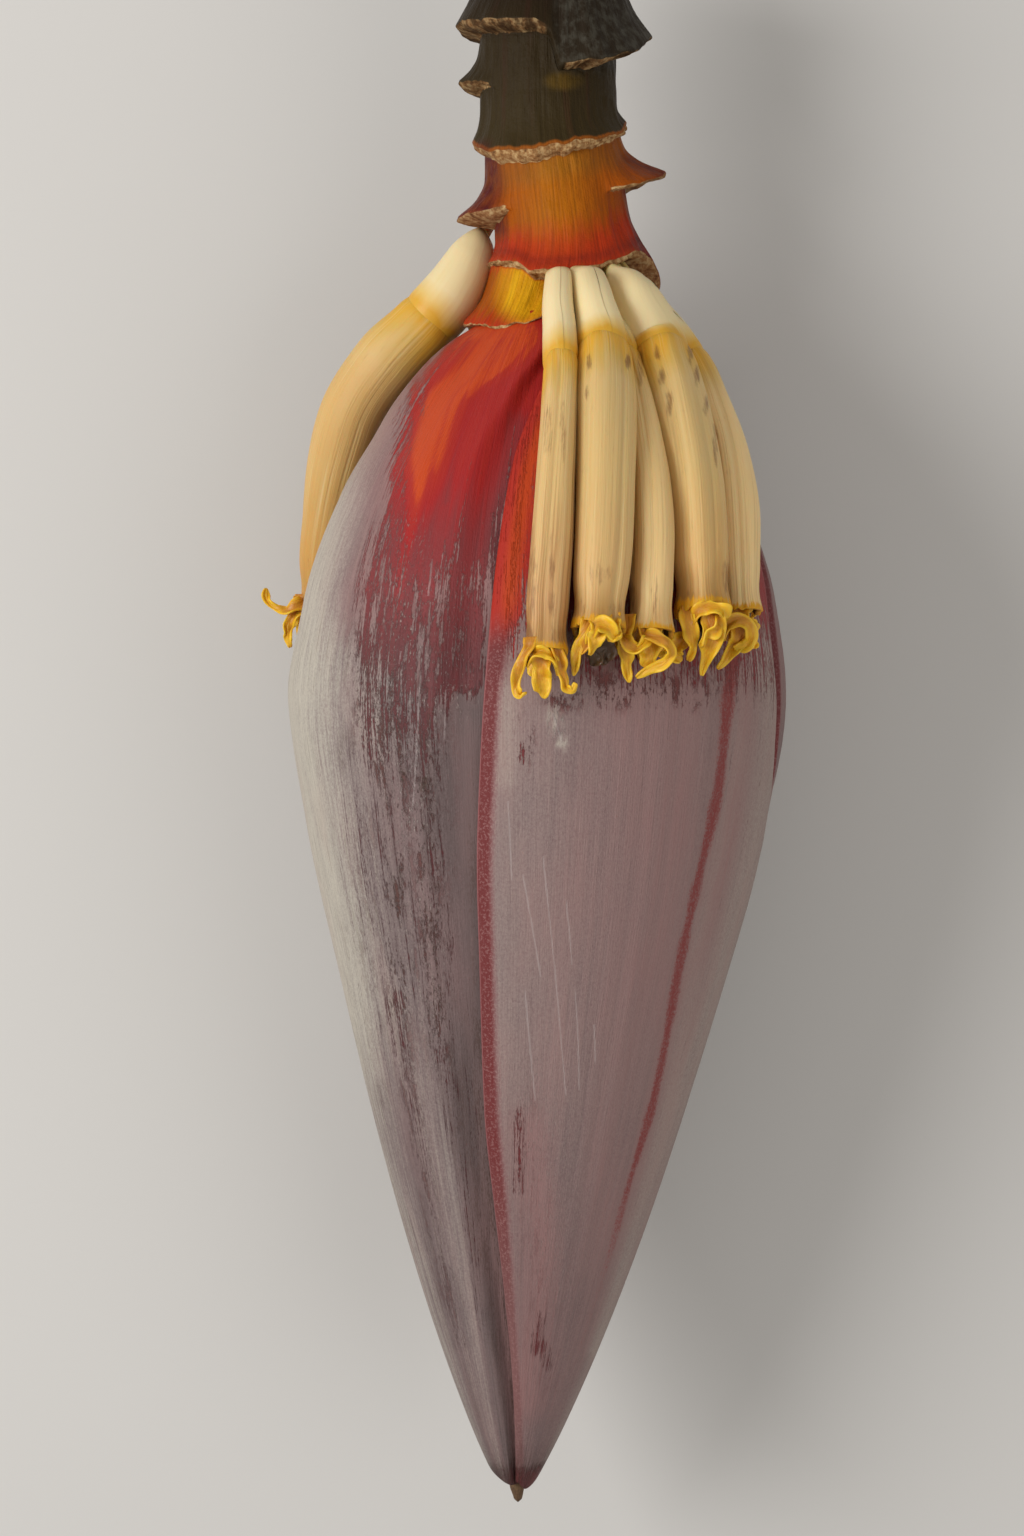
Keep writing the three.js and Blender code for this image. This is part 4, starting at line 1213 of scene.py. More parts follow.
# How much fuller than its path each flower is drawn, by the length along it.
FULLNESS = [(-3, 0.5), (0, 0.5), (5, 0.42), (12, 0.28), (22, 0.1), (60, 0.05)]
LEFT_FULLNESS = [
    (-3, -1.5), (0, -1.2), (3, -0.2), (7, 0.7), (14, 1.0), (22, 0.8), (45, 0.7), (64, 0.25),
]

# How much narrower a flower's lower half is drawn than its solid, and how far to the right.
LOWER_FIT = {"flower_1": (0.5, 0.42)}


def flower_path(path, squareness, narrower, to_right):
    """Functions that give rings, directions and centres along a flower's path, and its length."""
    y, angle, distance, half_width, half_height = np.array(path, float).T
    knots = place(y, angle, distance)
    steps = np.linalg.norm(np.diff(knots, axis=0), axis=1)
    at_knot = np.concatenate([[0], np.cumsum(steps)])
    lower_half = smooth(at_knot, 18, 45)
    knots[:, 0] += to_right * lower_half
    half_width = half_width - narrower * lower_half
    axes = [curve_through(zip(at_knot, knots[:, k])) for k in range(3)]
    widths = curve_through(zip(at_knot, half_width))
    heights = curve_through(zip(at_knot, half_height))
    length = at_knot[-1]

    def centre(at):
        """The middle of the tube."""
        return np.stack([axis(at) for axis in axes], axis=-1)

    def ways(at):
        """The directions ahead, across and outwards, at lengths along the path."""
        a = np.clip(at, 1.0, length - 1.0)
        ahead = centre(a + 1.0) - centre(a - 1.0)
        ahead /= np.linalg.norm(ahead, axis=-1, keepdims=True)
        spot = centre(np.clip(at, 0, length))
        level = 0 * spot[..., 1]
        beside = spot[..., 0] - centre_offset(spot[..., 1])
        outward = np.stack([beside, level, spot[..., 2]], axis=-1)
        outward /= np.linalg.norm(outward, axis=-1, keepdims=True)
        outward -= np.sum(outward * ahead, axis=-1, keepdims=True) * ahead
        outward /= np.linalg.norm(outward, axis=-1, keepdims=True)
        return ahead, np.cross(ahead, outward), outward

    def ring(at, turn, grow=0.0, flatten=0.0):
        """Points round the tube, grown outwards, and raised or lowered by flatten."""
        at = np.asarray(at, float) + 0 * turn
        ahead, across, outward = ways(at)
        a = np.radians(turn)
        sine = np.sign(np.sin(a)) * np.abs(np.sin(a)) ** squareness
        cosine = np.sign(np.cos(a)) * np.abs(np.cos(a)) ** squareness
        wide = (sine * (widths(at) + grow))[..., None]
        high = (cosine * (heights(at) + grow + flatten))[..., None]
        past = (np.maximum(at - length, 0) + np.minimum(at, 0))[..., None]
        return centre(np.clip(at, 0, length)) + across * wide + outward * high + ahead * past

    return ring, ways, centre, length


def close_ends(ring, points, at, down):
    """Draws a tube's first and last ring in to a point."""
    level = 0 * at
    core = 0.5 * (ring(at, level, -1) + ring(at, level + 180, -1))
    ends = ((down <= 0) | (down >= 1))[:, None]
    return np.where(ends, core, points)


def ovary_rings(ring, end, plump, seed):
    """A smooth, faintly faceted tube that narrows a little at both ends."""
    narrowing = curve_through([
        (-2.8, -0.4), (-1.6, 0.1), (end * 0.45, 0.25), (end - 3, 0.3), (end - 0.7, 0.26),
        (end + 2.4, -0.5),
    ])

    def rings(down, turn):
        at = lerp(-2.8, end + 2.4, down)
        facet = 0.1 * np.cos(np.radians(turn * 3 + seed * 40)) + 0.09 * noise(turn / 40, at / 9, seed + 70)
        grow = narrowing(at) + facet + plump(at)
        flatten = -1.7 * smooth(at, 5.0, 0.0)
        points = close_ends(ring, ring(at, turn, grow, flatten), at, down)
        uv = np.column_stack([turn * 0.06, at])
        return points, uv, {"bloom_part": np.column_stack([at / end, 0 * down, turn / 360])}

    return rings


# Brown marks on the flowers: place, half sizes and strength.
STAINS = [
    ((9.2, 60.8), (0.6, 1.7), 0.6), ((8.8, 55.3), (0.5, 1.6), 0.5), ((16.2, 60.8), (0.6, 1.8), 0.8),
    ((21.4, 62.6), (0.9, 1.8), 0.5), ((22.3, 58.0), (0.8, 2.4), 0.6), ((23.6, 53.3), (0.8, 3.2), 0.6),
    ((27.4, 62.6), (0.6, 2.7), 0.65), ((28.6, 58.3), (0.6, 2.4), 0.6), ((30.2, 53.1), (0.6, 2.7), 0.55),
    ((31.9, 45.9), (0.6, 5.4), 0.5), ((33.7, 22.0), (0.7, 3.4), 0.5), ((11.2, 22.5), (2.6, 2.2), 0.35),
    ((7.4, 16.2), (1.6, 2.6), 0.45), ((14.0, 15.8), (1.4, 2.4), 0.35), ((-2.3, 10.8), (1.4, 3.2), 1.0),
    ((-1.4, 21.6), (1.3, 13.0), 0.5), ((2.5, 19.8), (0.8, 12.0), 0.45), ((1.8, 48.6), (1.0, 6.0), 0.4),
    ((4.5, 48.6), (0.7, 7.0), 0.4), ((16.9, 18.7), (0.8, 3.0), 0.5), ((21.1, 18.0), (1.0, 5.0), 0.35),
    ((27.4, 18.0), (2.0, 2.0), 0.35), ((4.0, 10.8), (1.5, 3.0), 0.45), ((18.4, 60.3), (0.8, 5.0), 0.5),
]

# Where the left flower's tube is painted yellow along its inner, shaded side: a painted warm glow.
PAINTED_GLOW_SIDE = [(-9.7, 69.1), (-15.8, 63.7), (-20.5, 58.0), (-24.1, 52.2)]

# A tepal tube's ribs, and the depth of its mouth.
RIBS = 5
MOUTH_DEPTH = 9.0
# Shares of a tepal tube's rows: where its outside ends, where its wall and its inside start, and
# how long the inside runs.
OUTSIDE_END = 0.8
WALL_START = 0.815
INSIDE_START = 0.83
INSIDE_SPAN = 0.17


def tepal_rings(ring, start, length, plump, seed, round_tube):
    """A ribbed tube with a ragged, flared end, turned in to a hollow mouth."""

    def rings(down, turn):
        outer = np.clip(down / OUTSIDE_END, 0, 1)
        inner = np.clip((down - INSIDE_START) / INSIDE_SPAN, 0, 1)
        closing = seamless(turn)
        ragged = noise(turn / 24, seed * 3, seed + 85) + 0.8 * noise(turn / 9, seed * 3, seed + 86)
        ragged = ragged * closing
        frill = noise(turn / 13, seed * 2.3, seed + 87) * closing
        end = length + 0.1 + 2.1 * ragged
        at = np.where(down < OUTSIDE_END, lerp(start - 1.6, end, outer), end - inner * MOUTH_DEPTH)
        calm = 0.25 if round_tube else 1.0
        furrow = -0.2 * np.exp(-((np.mod(turn * RIBS / 360 + seed * 0.37, 1) - 0.5) / 0.07) ** 2)
        facet = 0.12 * np.cos(np.radians(turn * RIBS + seed * 133))
        fine = 0.11 * noise(turn / 5.5, at / 40, seed + 81) * closing
        wrinkle = 0.16 * noise(turn / 22, at / 11, seed + 80) * closing
        collar = -0.7 * smooth(at, start + 2.2, start - 1.9)
        dent = 0.25 * noise(3 + seed, at / 13, seed + 83) * smooth(at, start + 4, start + 12)
        wall = np.where(down > WALL_START, 0.85 + 0.6 * inner, 0.0)
        flare = 0.35 * smooth(at, length - 2.4, length + 0.6)
        flare = flare + 0.7 * frill * smooth(at, length - 3.5, length + 0.5)
        pinch = -0.3 * np.exp(-((at - length + 4) / 2.5) ** 2)
        relief = (furrow + facet + fine + wrinkle) * calm * smooth(at, start, start + 5)
        skin = relief * (down < WALL_START)
        grow = skin + collar + dent + pinch + flare - wall + 0.25 + plump(at)
        points = close_ends(ring, ring(at, turn, grow), at, down)
        u, v = faced(points)
        stain = sum(strength * patch(u, v, spot, sizes) for spot, sizes, strength in STAINS)
        stain = np.clip(stain, 0, 1) * (points[:, 2] > 0)
        painted_glow = band(u, v, PAINTED_GLOW_SIDE, 2.2)
        uv = np.column_stack([turn * 0.07, at])
        inside = smooth(down, OUTSIDE_END, 0.84)
        rim = smooth(at, length - 2.4, length + 0.5)
        share = (at - start) / (length - start)
        return points, uv, {
            "bloom_part": np.column_stack([share, inside, turn / 360]),
            "marks": np.column_stack([stain, rim, painted_glow]),
        }

    return rings


# What the lobes' finish reads as withered, in place of the share along a lobe.
WITHERED_AGE = -0.6
BLADE_ROWS = 25
BLADE_COLUMNS = 9
# In metres.
BLADE_THICKNESS = 0.0004


def blade(name, height, points, seed, ruffle=0.68, withered=False):
    """A curled lobe: a thin ruffled blade along places with a lift, half width and roll each. The
    height is that of the mouth's centre."""
    piece, down, across = grid(name, BLADE_ROWS, BLADE_COLUMNS)
    table = np.array(points, float)
    table = np.vstack([table[0] + (0.0, 1.5, -0.3, 0.2, 0.0), table])
    knots = np.linspace(0, 1, len(table))
    u, v, lift, half_width, roll = [curve_through(zip(knots, table[:, k])) for k in range(5)]

    def line(t):
        """The blade's middle line, where its places show to the eye above."""
        z = height + lift(t)
        spread = EYE_HEIGHT / (EYE_HEIGHT - z)
        x = EYE_PLACE[0] + (u(t) - EYE_PLACE[0]) / spread
        y = EYE_PLACE[1] + (v(t) - EYE_PLACE[1]) / spread
        return np.stack([x, y, z], axis=-1)

    side = 2 * across - 1
    ahead = line(down + 0.03) - line(down - 0.03)
    ahead /= np.maximum(np.linalg.norm(ahead, axis=1, keepdims=True), 0.0001)
    beside = np.cross(ahead, np.array([0.0, 0.0, 1.0]))
    beside /= np.maximum(np.linalg.norm(beside, axis=1, keepdims=True), 0.0001)
    above = np.cross(beside, ahead)
    a = np.radians(roll(down))[:, None]
    over = beside * np.cos(a) + above * np.sin(a)
    facing = above * np.cos(a) - beside * np.sin(a)
    tooth = 1 + 0.32 * noise(down * 9, np.sign(side) * 2 + 5, seed + 90) * smooth(down, 0.1, 0.4)
    end = np.sqrt(np.clip(1 - np.clip((down - 0.88) / 0.13, 0, 1) ** 2, 0.02, 1))
    reach = side * 0.88 * half_width(down) * tooth * end
    wave = ruffle * np.abs(side) ** 1.6 * np.sin(down * 14 + seed * 1.7 + (side > 0) * 2.2)
    cup = 0.35 * half_width(down) * side ** 2
    crease = 0.34 * noise(side * 2.2, down * 8, seed + 95)
    lift_off = (wave + cup + crease) * smooth(down, 0, 0.25) * end
    shape = line(down) + over * reach[:, None] + facing * lift_off[:, None]
    uv = np.column_stack([side * half_width(down), down * 9])
    age = 0 * down + WITHERED_AGE if withered else down
    part = np.column_stack([age, np.abs(side), 0 * down + seed % 7 / 7])
    shape_grid(piece, shape, uv, bloom_part=part)
    modifier(piece, "SOLIDIFY", thickness=BLADE_THICKNESS, offset=0)
    modifier(piece, "SUBSURF", levels=1, render_levels=1)
    return piece


# Each mouth's lobes, as lines of places: x, y, lift over the mouth's centre, half width and roll.
CROWNS = {
    "flower_1": [
        [
            (-1.4, 9.9, 3.6, 1.3, -20), (-2.7, 7.6, 3.4, 1.1, -25), (-3.6, 4.7, 2.2, 0.9, -10),
            (-4.1, 2.3, 1.4, 0.8, 10), (-3.4, 0.7, 1.6, 0.7, 30), (-2.0, 1.3, 2.2, 0.5, 40),
        ],
        [
            (-2.0, 6.5, 2.2, 0.9, 60), (-0.7, 7.9, 3.8, 1.1, 45), (1.1, 8.5, 4.4, 1.2, 30),
            (2.5, 7.7, 4, 1.1, 40), (3.4, 5.8, 2.4, 0.8, 60),
        ],
        [
            (0.9, 8.6, 2.8, 2, 0), (0.7, 6.5, 2.6, 2.2, -5), (0.5, 4.3, 2.2, 2, 8),
            (0.9, 2.2, 1.4, 1.5, 0), (1.1, 0.2, 0.6, 0.7, -10),
        ],
        [
            (3.2, 9.4, 3.2, 1.4, 20), (4.0, 6.8, 2.8, 1.2, 25), (4.5, 4.5, 2, 1, 15),
            (5.0, 2.3, 1.4, 0.9, 0), (6.3, 1.8, 1.8, 0.8, -20), (6.8, 3.1, 2.6, 0.5, -40),
        ],
        [(-0.5, 8.6, -2, 1.8, 180), (-0.9, 6.5, -2.6, 1.5, 170), (-0.7, 4.0, -2.2, 0.7, 160)],
        [(3.4, 8.6, -2, 1.8, 180), (4.0, 6.7, -2.6, 1.5, 170), (3.6, 4.3, -2.4, 0.7, 160)],
    ],
    "flower_2": [
        [
            (9.4, 14.4, 3, 1.5, -20), (8.3, 11.9, 3.4, 1.3, -30), (7.4, 9.4, 2.8, 1.1, -20),
            (6.7, 6.8, 2, 0.9, -5), (6.5, 4.3, 1.2, 0.5, 10),
        ],
        [
            (8.1, 8.6, 2.6, 0.9, 60), (9.4, 11.5, 4.2, 1.3, 40), (10.8, 13.5, 5, 1.7, 20),
            (12.6, 13.0, 5, 1.6, 10), (13.9, 11.2, 4.2, 1.2, 20), (14.8, 11.9, 3.2, 0.8, 40),
        ],
        [
            (11.2, 14.0, 3.6, 2.2, 0), (11.0, 12.2, 4.2, 2.1, 5), (10.1, 10.4, 4.4, 1.4, 15),
            (9.2, 8.1, 3.4, 0.7, 30),
        ],
        [(13.3, 14.4, 3, 1.6, 10), (13.7, 12.2, 3.8, 1.5, 0), (13.1, 10.4, 4.2, 0.9, -10)],
        [(9.4, 12.6, -2.2, 1.8, 180), (9.2, 10.1, -2.6, 1.4, 170), (9.5, 7.6, -2.2, 0.7, 160)],
        [(13.0, 12.6, -2.2, 1.8, 180), (13.3, 10.1, -2.6, 1.4, 170), (13.0, 7.9, -2.4, 0.7, 160)],
    ],
    "flower_3": [
        [
            (16.2, 14.0, 2.4, 1.5, -10), (15.7, 11.2, 3.4, 1.5, -20), (15.8, 8.3, 2.8, 1.4, -5),
            (16.0, 5.8, 2, 1.1, 5), (16.4, 3.1, 1.4, 0.4, 10),
        ],
        [
            (14.8, 12.2, 3.4, 0.9, 30), (16.0, 10.3, 4.4, 1.2, 20), (17.8, 9.0, 4.6, 1.3, 15),
            (19.4, 10.3, 4.4, 1.1, 25), (20.2, 11.5, 3.8, 0.8, 40),
        ],
        [
            (18.9, 11.9, 3.6, 1, 30), (21.2, 11.3, 4.4, 1.2, 35), (23.2, 10.3, 4.2, 1.1, 30),
            (23.9, 8.5, 3.4, 1.1, 20), (22.7, 6.7, 3, 1.3, 5), (20.3, 5.6, 2.4, 1.2, 0),
            (17.6, 4.0, 1.6, 0.6, 0),
        ],
        [
            (20.5, 13.0, 2.4, 2.2, 0), (20.5, 10.4, 2.2, 2.2, 0), (20.2, 8.1, 2, 2, 5),
            (18.9, 5.9, 1.4, 1, 0),
        ],
        [(18.4, 12.2, -2, 1.7, 180), (18.4, 9.7, -2.4, 1.4, 170), (18.7, 7.2, -2, 0.7, 160)],
        [(22.0, 12.2, -2, 1.7, 180), (22.3, 9.7, -2.4, 1.4, 170), (22.0, 7.6, -2.2, 0.7, 160)],
    ],
    "flower_4": [
        [
            (27.7, 11.9, 1.4, 1.2, -10), (26.3, 10.8, 1.8, 1.5, -20), (25.0, 9.7, 1.6, 1.6, -10),
            (24.7, 8.1, 1.4, 1.5, 10), (25.7, 6.8, 1.2, 1, 20),
        ],
        [
            (26.6, 17.3, 2.2, 1.2, -30), (27.2, 14.8, 3.4, 1.4, -20), (27.7, 12.2, 3.6, 1.5, 0),
            (27.9, 9.7, 3, 1.3, 15), (27.0, 7.0, 2.2, 0.5, 30),
        ],
        [
            (28.1, 14.0, 3.4, 0.9, 50), (29.2, 16.0, 4.6, 1.2, 35), (31.1, 16.7, 5, 1.5, 25),
            (33.1, 16.4, 4.8, 1.3, 20), (34.4, 14.9, 3.8, 0.9, 40),
        ],
        [
            (31.3, 16.6, 3.4, 2, 0), (31.7, 13.5, 3.8, 2.2, 10), (31.3, 10.6, 3.4, 2, 0),
            (30.4, 7.6, 2.4, 1.4, -10), (29.5, 4.3, 1.4, 0.4, -10),
        ],
        [
            (32.8, 15.8, 3, 1.4, 20), (32.0, 13.0, 4.4, 1.2, 40), (30.2, 11.5, 4.8, 1, 50),
            (29.3, 9.4, 4, 0.7, 40),
        ],
        [(28.4, 15.8, -2.2, 1.8, 180), (28.3, 13.3, -2.6, 1.4, 170), (28.6, 10.8, -2.2, 0.7, 160)],
        [(32.0, 15.8, -2.2, 1.8, 180), (32.4, 13.3, -2.6, 1.4, 170), (32.0, 10.8, -2.4, 0.7, 160)],
    ],
    "flower_5": [
        [
            (33.5, 10.8, 2.2, 0.9, 40), (34.2, 13.3, 3.6, 1.2, 40), (36.0, 14.4, 4.4, 1.4, 30),
            (37.8, 13.5, 4, 1.3, 20), (38.3, 11.3, 3, 1.2, 20), (37.1, 9.7, 2.6, 1.2, 10),
            (35.1, 9.4, 2.4, 0.9, 0),
        ],
        [
            (36.0, 15.8, 2.6, 2.2, 0), (36.2, 13.3, 2.6, 2.2, 0), (36.0, 10.8, 2, 1.8, 0),
            (34.7, 9.0, 1.6, 1.3, 0), (33.7, 7.0, 1.2, 1.1, 0), (32.2, 5.6, 0.8, 0.6, 0),
        ],
        [
            (37.4, 15.8, 1, 1.4, 50), (38.3, 13.3, 1, 1.3, 60), (38.7, 11.2, 0.8, 1, 50),
            (38.9, 9.2, 0.4, 0.5, 40),
        ],
        [(34.6, 15.1, -2.2, 1.6, 180), (34.4, 12.6, -2.6, 1.3, 170), (34.7, 10.4, -2.2, 0.7, 160)],
        [(37.6, 15.1, -2.6, 1.6, 180), (38.0, 13.0, -3, 1.3, 170), (37.4, 10.8, -2.6, 0.7, 160)],
    ],
    "flower_left": [
        [
            (-41.8, 17.6, 2.6, 1.6, -20), (-43.6, 16.7, 3.4, 1.3, -30), (-45.5, 16.0, 3, 1.1, -20),
            (-47.3, 16.6, 2.4, 0.9, 0), (-48.8, 18.2, 2, 0.9, 10), (-49.0, 20.2, 1.8, 0.7, 0),
        ],
        [
            (-42.5, 17.3, 2, 1.7, 0), (-44.1, 15.3, 2.2, 1.4, -10), (-45.0, 13.0, 1.8, 1.1, 0),
            (-45.0, 11.2, 1.2, 0.9, 10), (-44.6, 9.4, 0.8, 0.6, 20),
        ],
        [
            (-41.4, 16.9, 1.4, 1.7, 10), (-42.3, 14.4, 1.6, 1.4, 0), (-42.8, 11.9, 1.2, 1, -10),
            (-42.7, 9.9, 0.8, 0.6, 0),
        ],
        [(-40.0, 17.3, 2.4, 1.6, 10), (-40.7, 14.4, 2, 1.3, 0), (-41.0, 11.5, 1.2, 0.7, 0)],
        [(-42.3, 17.6, -1.6, 1.6, 180), (-43.6, 15.5, -2.4, 1.3, 170), (-44.1, 13.0, -2.6, 0.7, 160)],
        [(-38.9, 16.9, -1.6, 1.6, 180), (-38.9, 14.4, -2.4, 1.3, 170), (-39.2, 11.9, -2.2, 0.7, 160)],
    ],
}


# Dark withered parts that hang in the mouths, as the lobes' lines.
WITHERED = {
    "flower_2": [
        [
            (10.1, 11.9, 1.6, 1.4, 0), (10.6, 9.7, 1.2, 2, 15), (10.4, 7.9, 0.4, 1.8, -10),
            (9.7, 6.1, -0.4, 0.8, 0),
        ],
        [
            (12.2, 11.5, 1.2, 1.6, 0), (12.4, 9.4, 0.8, 1.9, -20), (12.1, 7.6, 0.2, 1.4, 10),
            (11.9, 6.3, -0.4, 0.5, 0),
        ],
    ],
    "flower_4": [
        [(30.2, 13.3, 1.6, 1.6, 0), (30.2, 11.2, 1, 1.6, 15), (29.7, 9.0, 0.2, 0.8, 0)],
    ],
}


def style_rings(spot, ahead, sideways, outward, thick, reach):
    """A thin stem with a swollen tip, that stands in a mouth at the spot."""
    fatness = curve_through([(0, 1), (0.6, 0.8), (0.78, 1.35), (0.93, 1.1), (1, 0.02)])

    def rings(down, turn):
        a = np.radians(turn)
        fat = thick * fatness(down)
        goes = -7.0 + down * reach
        middle = spot[None, :] + ahead[None, :] * goes[:, None]
        wide = sideways[None, :] * (np.sin(a) * fat)[:, None]
        high = outward[None, :] * (np.cos(a) * fat)[:, None]
        uv = np.column_stack([turn * 0.01, goes])
        withered = np.column_stack([0 * down + WITHERED_AGE, 0 * down, 0 * down])
        return middle + wide + high, uv, {"bloom_part": withered}

    return rings


# Anthers that stand round the style, a third of a turn apart.
ANTHERS = 3


def style(name, ring, ways, length, seed):
    """The withered style and the anthers' tips round it, deep in a flower's mouth."""
    parts = []
    ahead, sideways, outward = (way[0] for way in ways(np.array([length])))
    level = np.array([0.0])
    here = np.array([length])
    core = 0.5 * (ring(here, level, -1) + ring(here, level + 180, -1))[0]
    for index in range(ANTHERS + 1):
        is_style = index == ANTHERS
        turn = math.radians(index * 120 + seed * 37)
        beside = 0.0 if is_style else 1.25
        spot = core + (sideways * math.sin(turn) + outward * math.cos(turn)) * beside
        thick = 0.75 if is_style else 0.5
        reach = 8.2 + (0.9 if is_style else 0.2 * index)
        rings = style_rings(spot, ahead, sideways, outward, thick, reach)
        parts.append(tube(f"{name}_{index}", 12, 11, rings))
    return parts


def ovary_finish(look):
    """Cream, greenish at the stalk and yellow where the tepals start."""
    r = Recipe("ovary_finish", Specular_IOR_Level=0.4, Subsurface_Weight=0.15, Subsurface_Scale=0.003)
    share, _, _ = r.parts("bloom_part")
    cloud = r.grain(0.35, 0.08, 3.0, 0.5)
    thread = r.grain(1.6, 0.05, 3.0, 0.5, 4.0)
    tone = r.add(share, (r.centred(cloud), 0.2))
    colour = r.ramp(tone, [
        (0.0, look.ovary_green), (0.15, look.ovary), (0.74, look.ovary), (0.9, look.ovary_warm),
        (0.98, look.junction),
    ])
    colour = r.blend(r.window(thread, 0.55, 0.8, 0.0, 0.22), colour, look.ovary_warm)
    r.bump(r.sum(r.times(thread, 0.5), cloud), 0.00012)
    return r.finish(colour, r.window(cloud, 0.3, 0.7, 0.42, 0.55))


def tepal_finish(look, name, tan, streaks, age):
    """Cream to tan tubes with long brown streaks, a yellow junction and a golden mouth. A flower has
    its own tan, its own share of streaks and its own age, from 0 for fresh to 1."""
    r = Recipe(name, Specular_IOR_Level=0.35, Subsurface_Weight=0.25, Subsurface_Scale=0.003)
    share, inside, _ = r.parts("bloom_part")
    stain, rim, painted_glow = r.parts("marks")
    rib = r.grain(0.6, 0.012, 3.0, 0.55)
    thread = r.grain(2.6, 0.03, 3.0, 0.6, 3.0)
    fleck = r.grain(1.5, 0.3, 3.0, 0.6, 8.0)
    cloud = r.grain(0.22, 0.06, 2.0, 0.5, 12.0)
    off = r.centred(rib)
    tone = r.add(share, (off, 0.2), (r.centred(cloud), 0.25))
    colour = r.ramp(tone, [
        (0.0, look.junction), (0.03, look.junction), (0.1, look.tepal_yellow), (0.2, look.tepal),
        (0.55, look.tepal), (0.85, tan), (1.0, look.tepal_tan),
    ])
    colour = r.blend(r.times(r.window(share, 0.1, 0.3), age), colour, tan)
    fibre = r.add(r.times(off, 1.2), (r.centred(thread), 0.9))
    stained = r.add(r.times(share, 0.3 * streaks), (fibre, 1.5))
    colour = r.blend(r.window(stained, 0.16, 0.8, 0.0, 0.62 * streaks), colour, look.streak_brown)
    colour = r.blend(r.window(fibre, -0.04, -0.4, 0.0, 0.55), colour, look.tepal_light)
    # Painted warm glow along the left flower's shaded inner side.
    colour = r.blend(r.times(painted_glow, 0.7), colour, look.junction)
    spot = r.add(stain, (r.centred(fleck), 1.3), (r.centred(thread), 0.6))
    colour = r.blend(r.times(r.window(spot, 0.12, 0.85), 0.75), colour, look.fleck_brown)
    gold = r.window(r.add(rim, (fibre, 0.9), (r.centred(fleck), 1.2)), 0.35, 0.8)
    colour = r.blend(gold, colour, look.lobe_yellow)
    # Painted shade inside the tube's hollow mouth.
    colour = r.blend(inside, colour, look.mouth_shade_and_withered)
    r.bump(r.add(r.times(rib, 0.6), (thread, 0.6), (fleck, 0.15)), 0.0003)
    return r.finish(colour, r.window(rib, 0.3, 0.7, 0.46, 0.6))


def lobe_finish(look):
    """Golden yellow, deeper gold at the foot with painted shade there, a painted highlight along the edges,
    amber at the tips, and dark brown where it is withered.
    """
    r = Recipe("lobe_finish", Specular_IOR_Level=0.45, Subsurface_Weight=0.15, Subsurface_Scale=0.0015)
    share, side, _ = r.parts("bloom_part")
    vein = r.grain(1.6, 0.3, 3.0, 0.6)
    spotty = r.solid_noise(600.0, 3.0, 0.6)
    # Brighter towards the edges: painted highlight.
    middle = r.window(side, 0.3, 0.95, -0.16, 0.36)
    tone = r.add(r.sum(share, middle), (r.centred(vein), 0.5), (r.centred(spotty), 0.7))
    colour = r.ramp(tone, [
        (0.0, look.lobe_gold_and_shade), (0.25, look.lobe_amber), (0.45, look.lobe_yellow), (0.9, look.lobe_highlight),
    ])
    ends = r.window(r.add(share, (r.centred(spotty), 0.9)), 0.85, 1.2, 0.0, 0.7)
    colour = r.blend(ends, colour, look.lobe_amber)
    colour = r.blend(r.window(share, -0.1, -0.4), colour, look.mouth_shade_and_withered)
    r.bump(r.add(vein, (spotty, 0.4)), 0.0003)
    return r.finish(colour, r.window(spotty, 0.3, 0.7, 0.36, 0.5))


def build_flower(flower, index, finishes):
    """One flower: its ovary, its tube of tepals and its crown of lobes."""
    is_left = flower == "flower_left"
    squareness = LEFT_SQUARENESS if is_left else SQUARENESS
    narrower, to_right = LOWER_FIT.get(flower, (0.0, 0.0))
    ring, ways, centre, length = flower_path(FLOWER_PATHS[flower], squareness, narrower, to_right)
    end = LONG_OVARY_LENGTH if flower == "flower_1" else OVARY_LENGTH
    plump = curve_through(LEFT_FULLNESS if is_left else FULLNESS)
    ovary = tube(f"{flower}_ovary_skin", 40, 41, ovary_rings(ring, end, plump, index))
    dress(ovary, finishes["ovary"], "ovary_skin", f"{flower}_ovary")
    rings = tepal_rings(ring, end, length, plump, index, is_left)
    tepals = tube(f"{flower}_tepal_tube", 110, 91, rings)
    dress(tepals, finishes[flower], "tepal_skin", f"{flower}_tepals")
    height = float(centre(np.array([length]))[0, 2])
    blades = []
    for number, points in enumerate(CROWNS[flower]):
        blades.append(blade(f"{flower}_lobe_{number}", height, points, index * 10 + number))
    for number, points in enumerate(WITHERED.get(flower, [])):
        name = f"{flower}_withered_{number}"
        blades.append(blade(name, height, points, index * 10 + number, ruffle=0.7, withered=True))
    blades += style(f"{flower}_style", ring, ways, length, index)
    crown = join(blades, f"{flower}_crown")
    dress(crown, finishes["lobe"], "tepal_skin")


# ---- settings ------------------------------------------------------------------------


def colour_setting(name, description, value):
    """A colour that the user can change."""
    return bpy.props.FloatVectorProperty(
        name=name, description=description, subtype="COLOR", size=4, min=0, max=1, default=(*value, 1.0),
    )


def roughness_setting(name, description, value):
    """A roughness from 0 to 1 that the user can change."""
    return bpy.props.FloatProperty(
        name=name, description=description, subtype="FACTOR", min=0, max=1, default=value,
    )


def power_setting(name, description, value):
    """A light's power that the user can change."""
    return bpy.props.FloatProperty(name=name, description=description, unit="POWER", default=value)


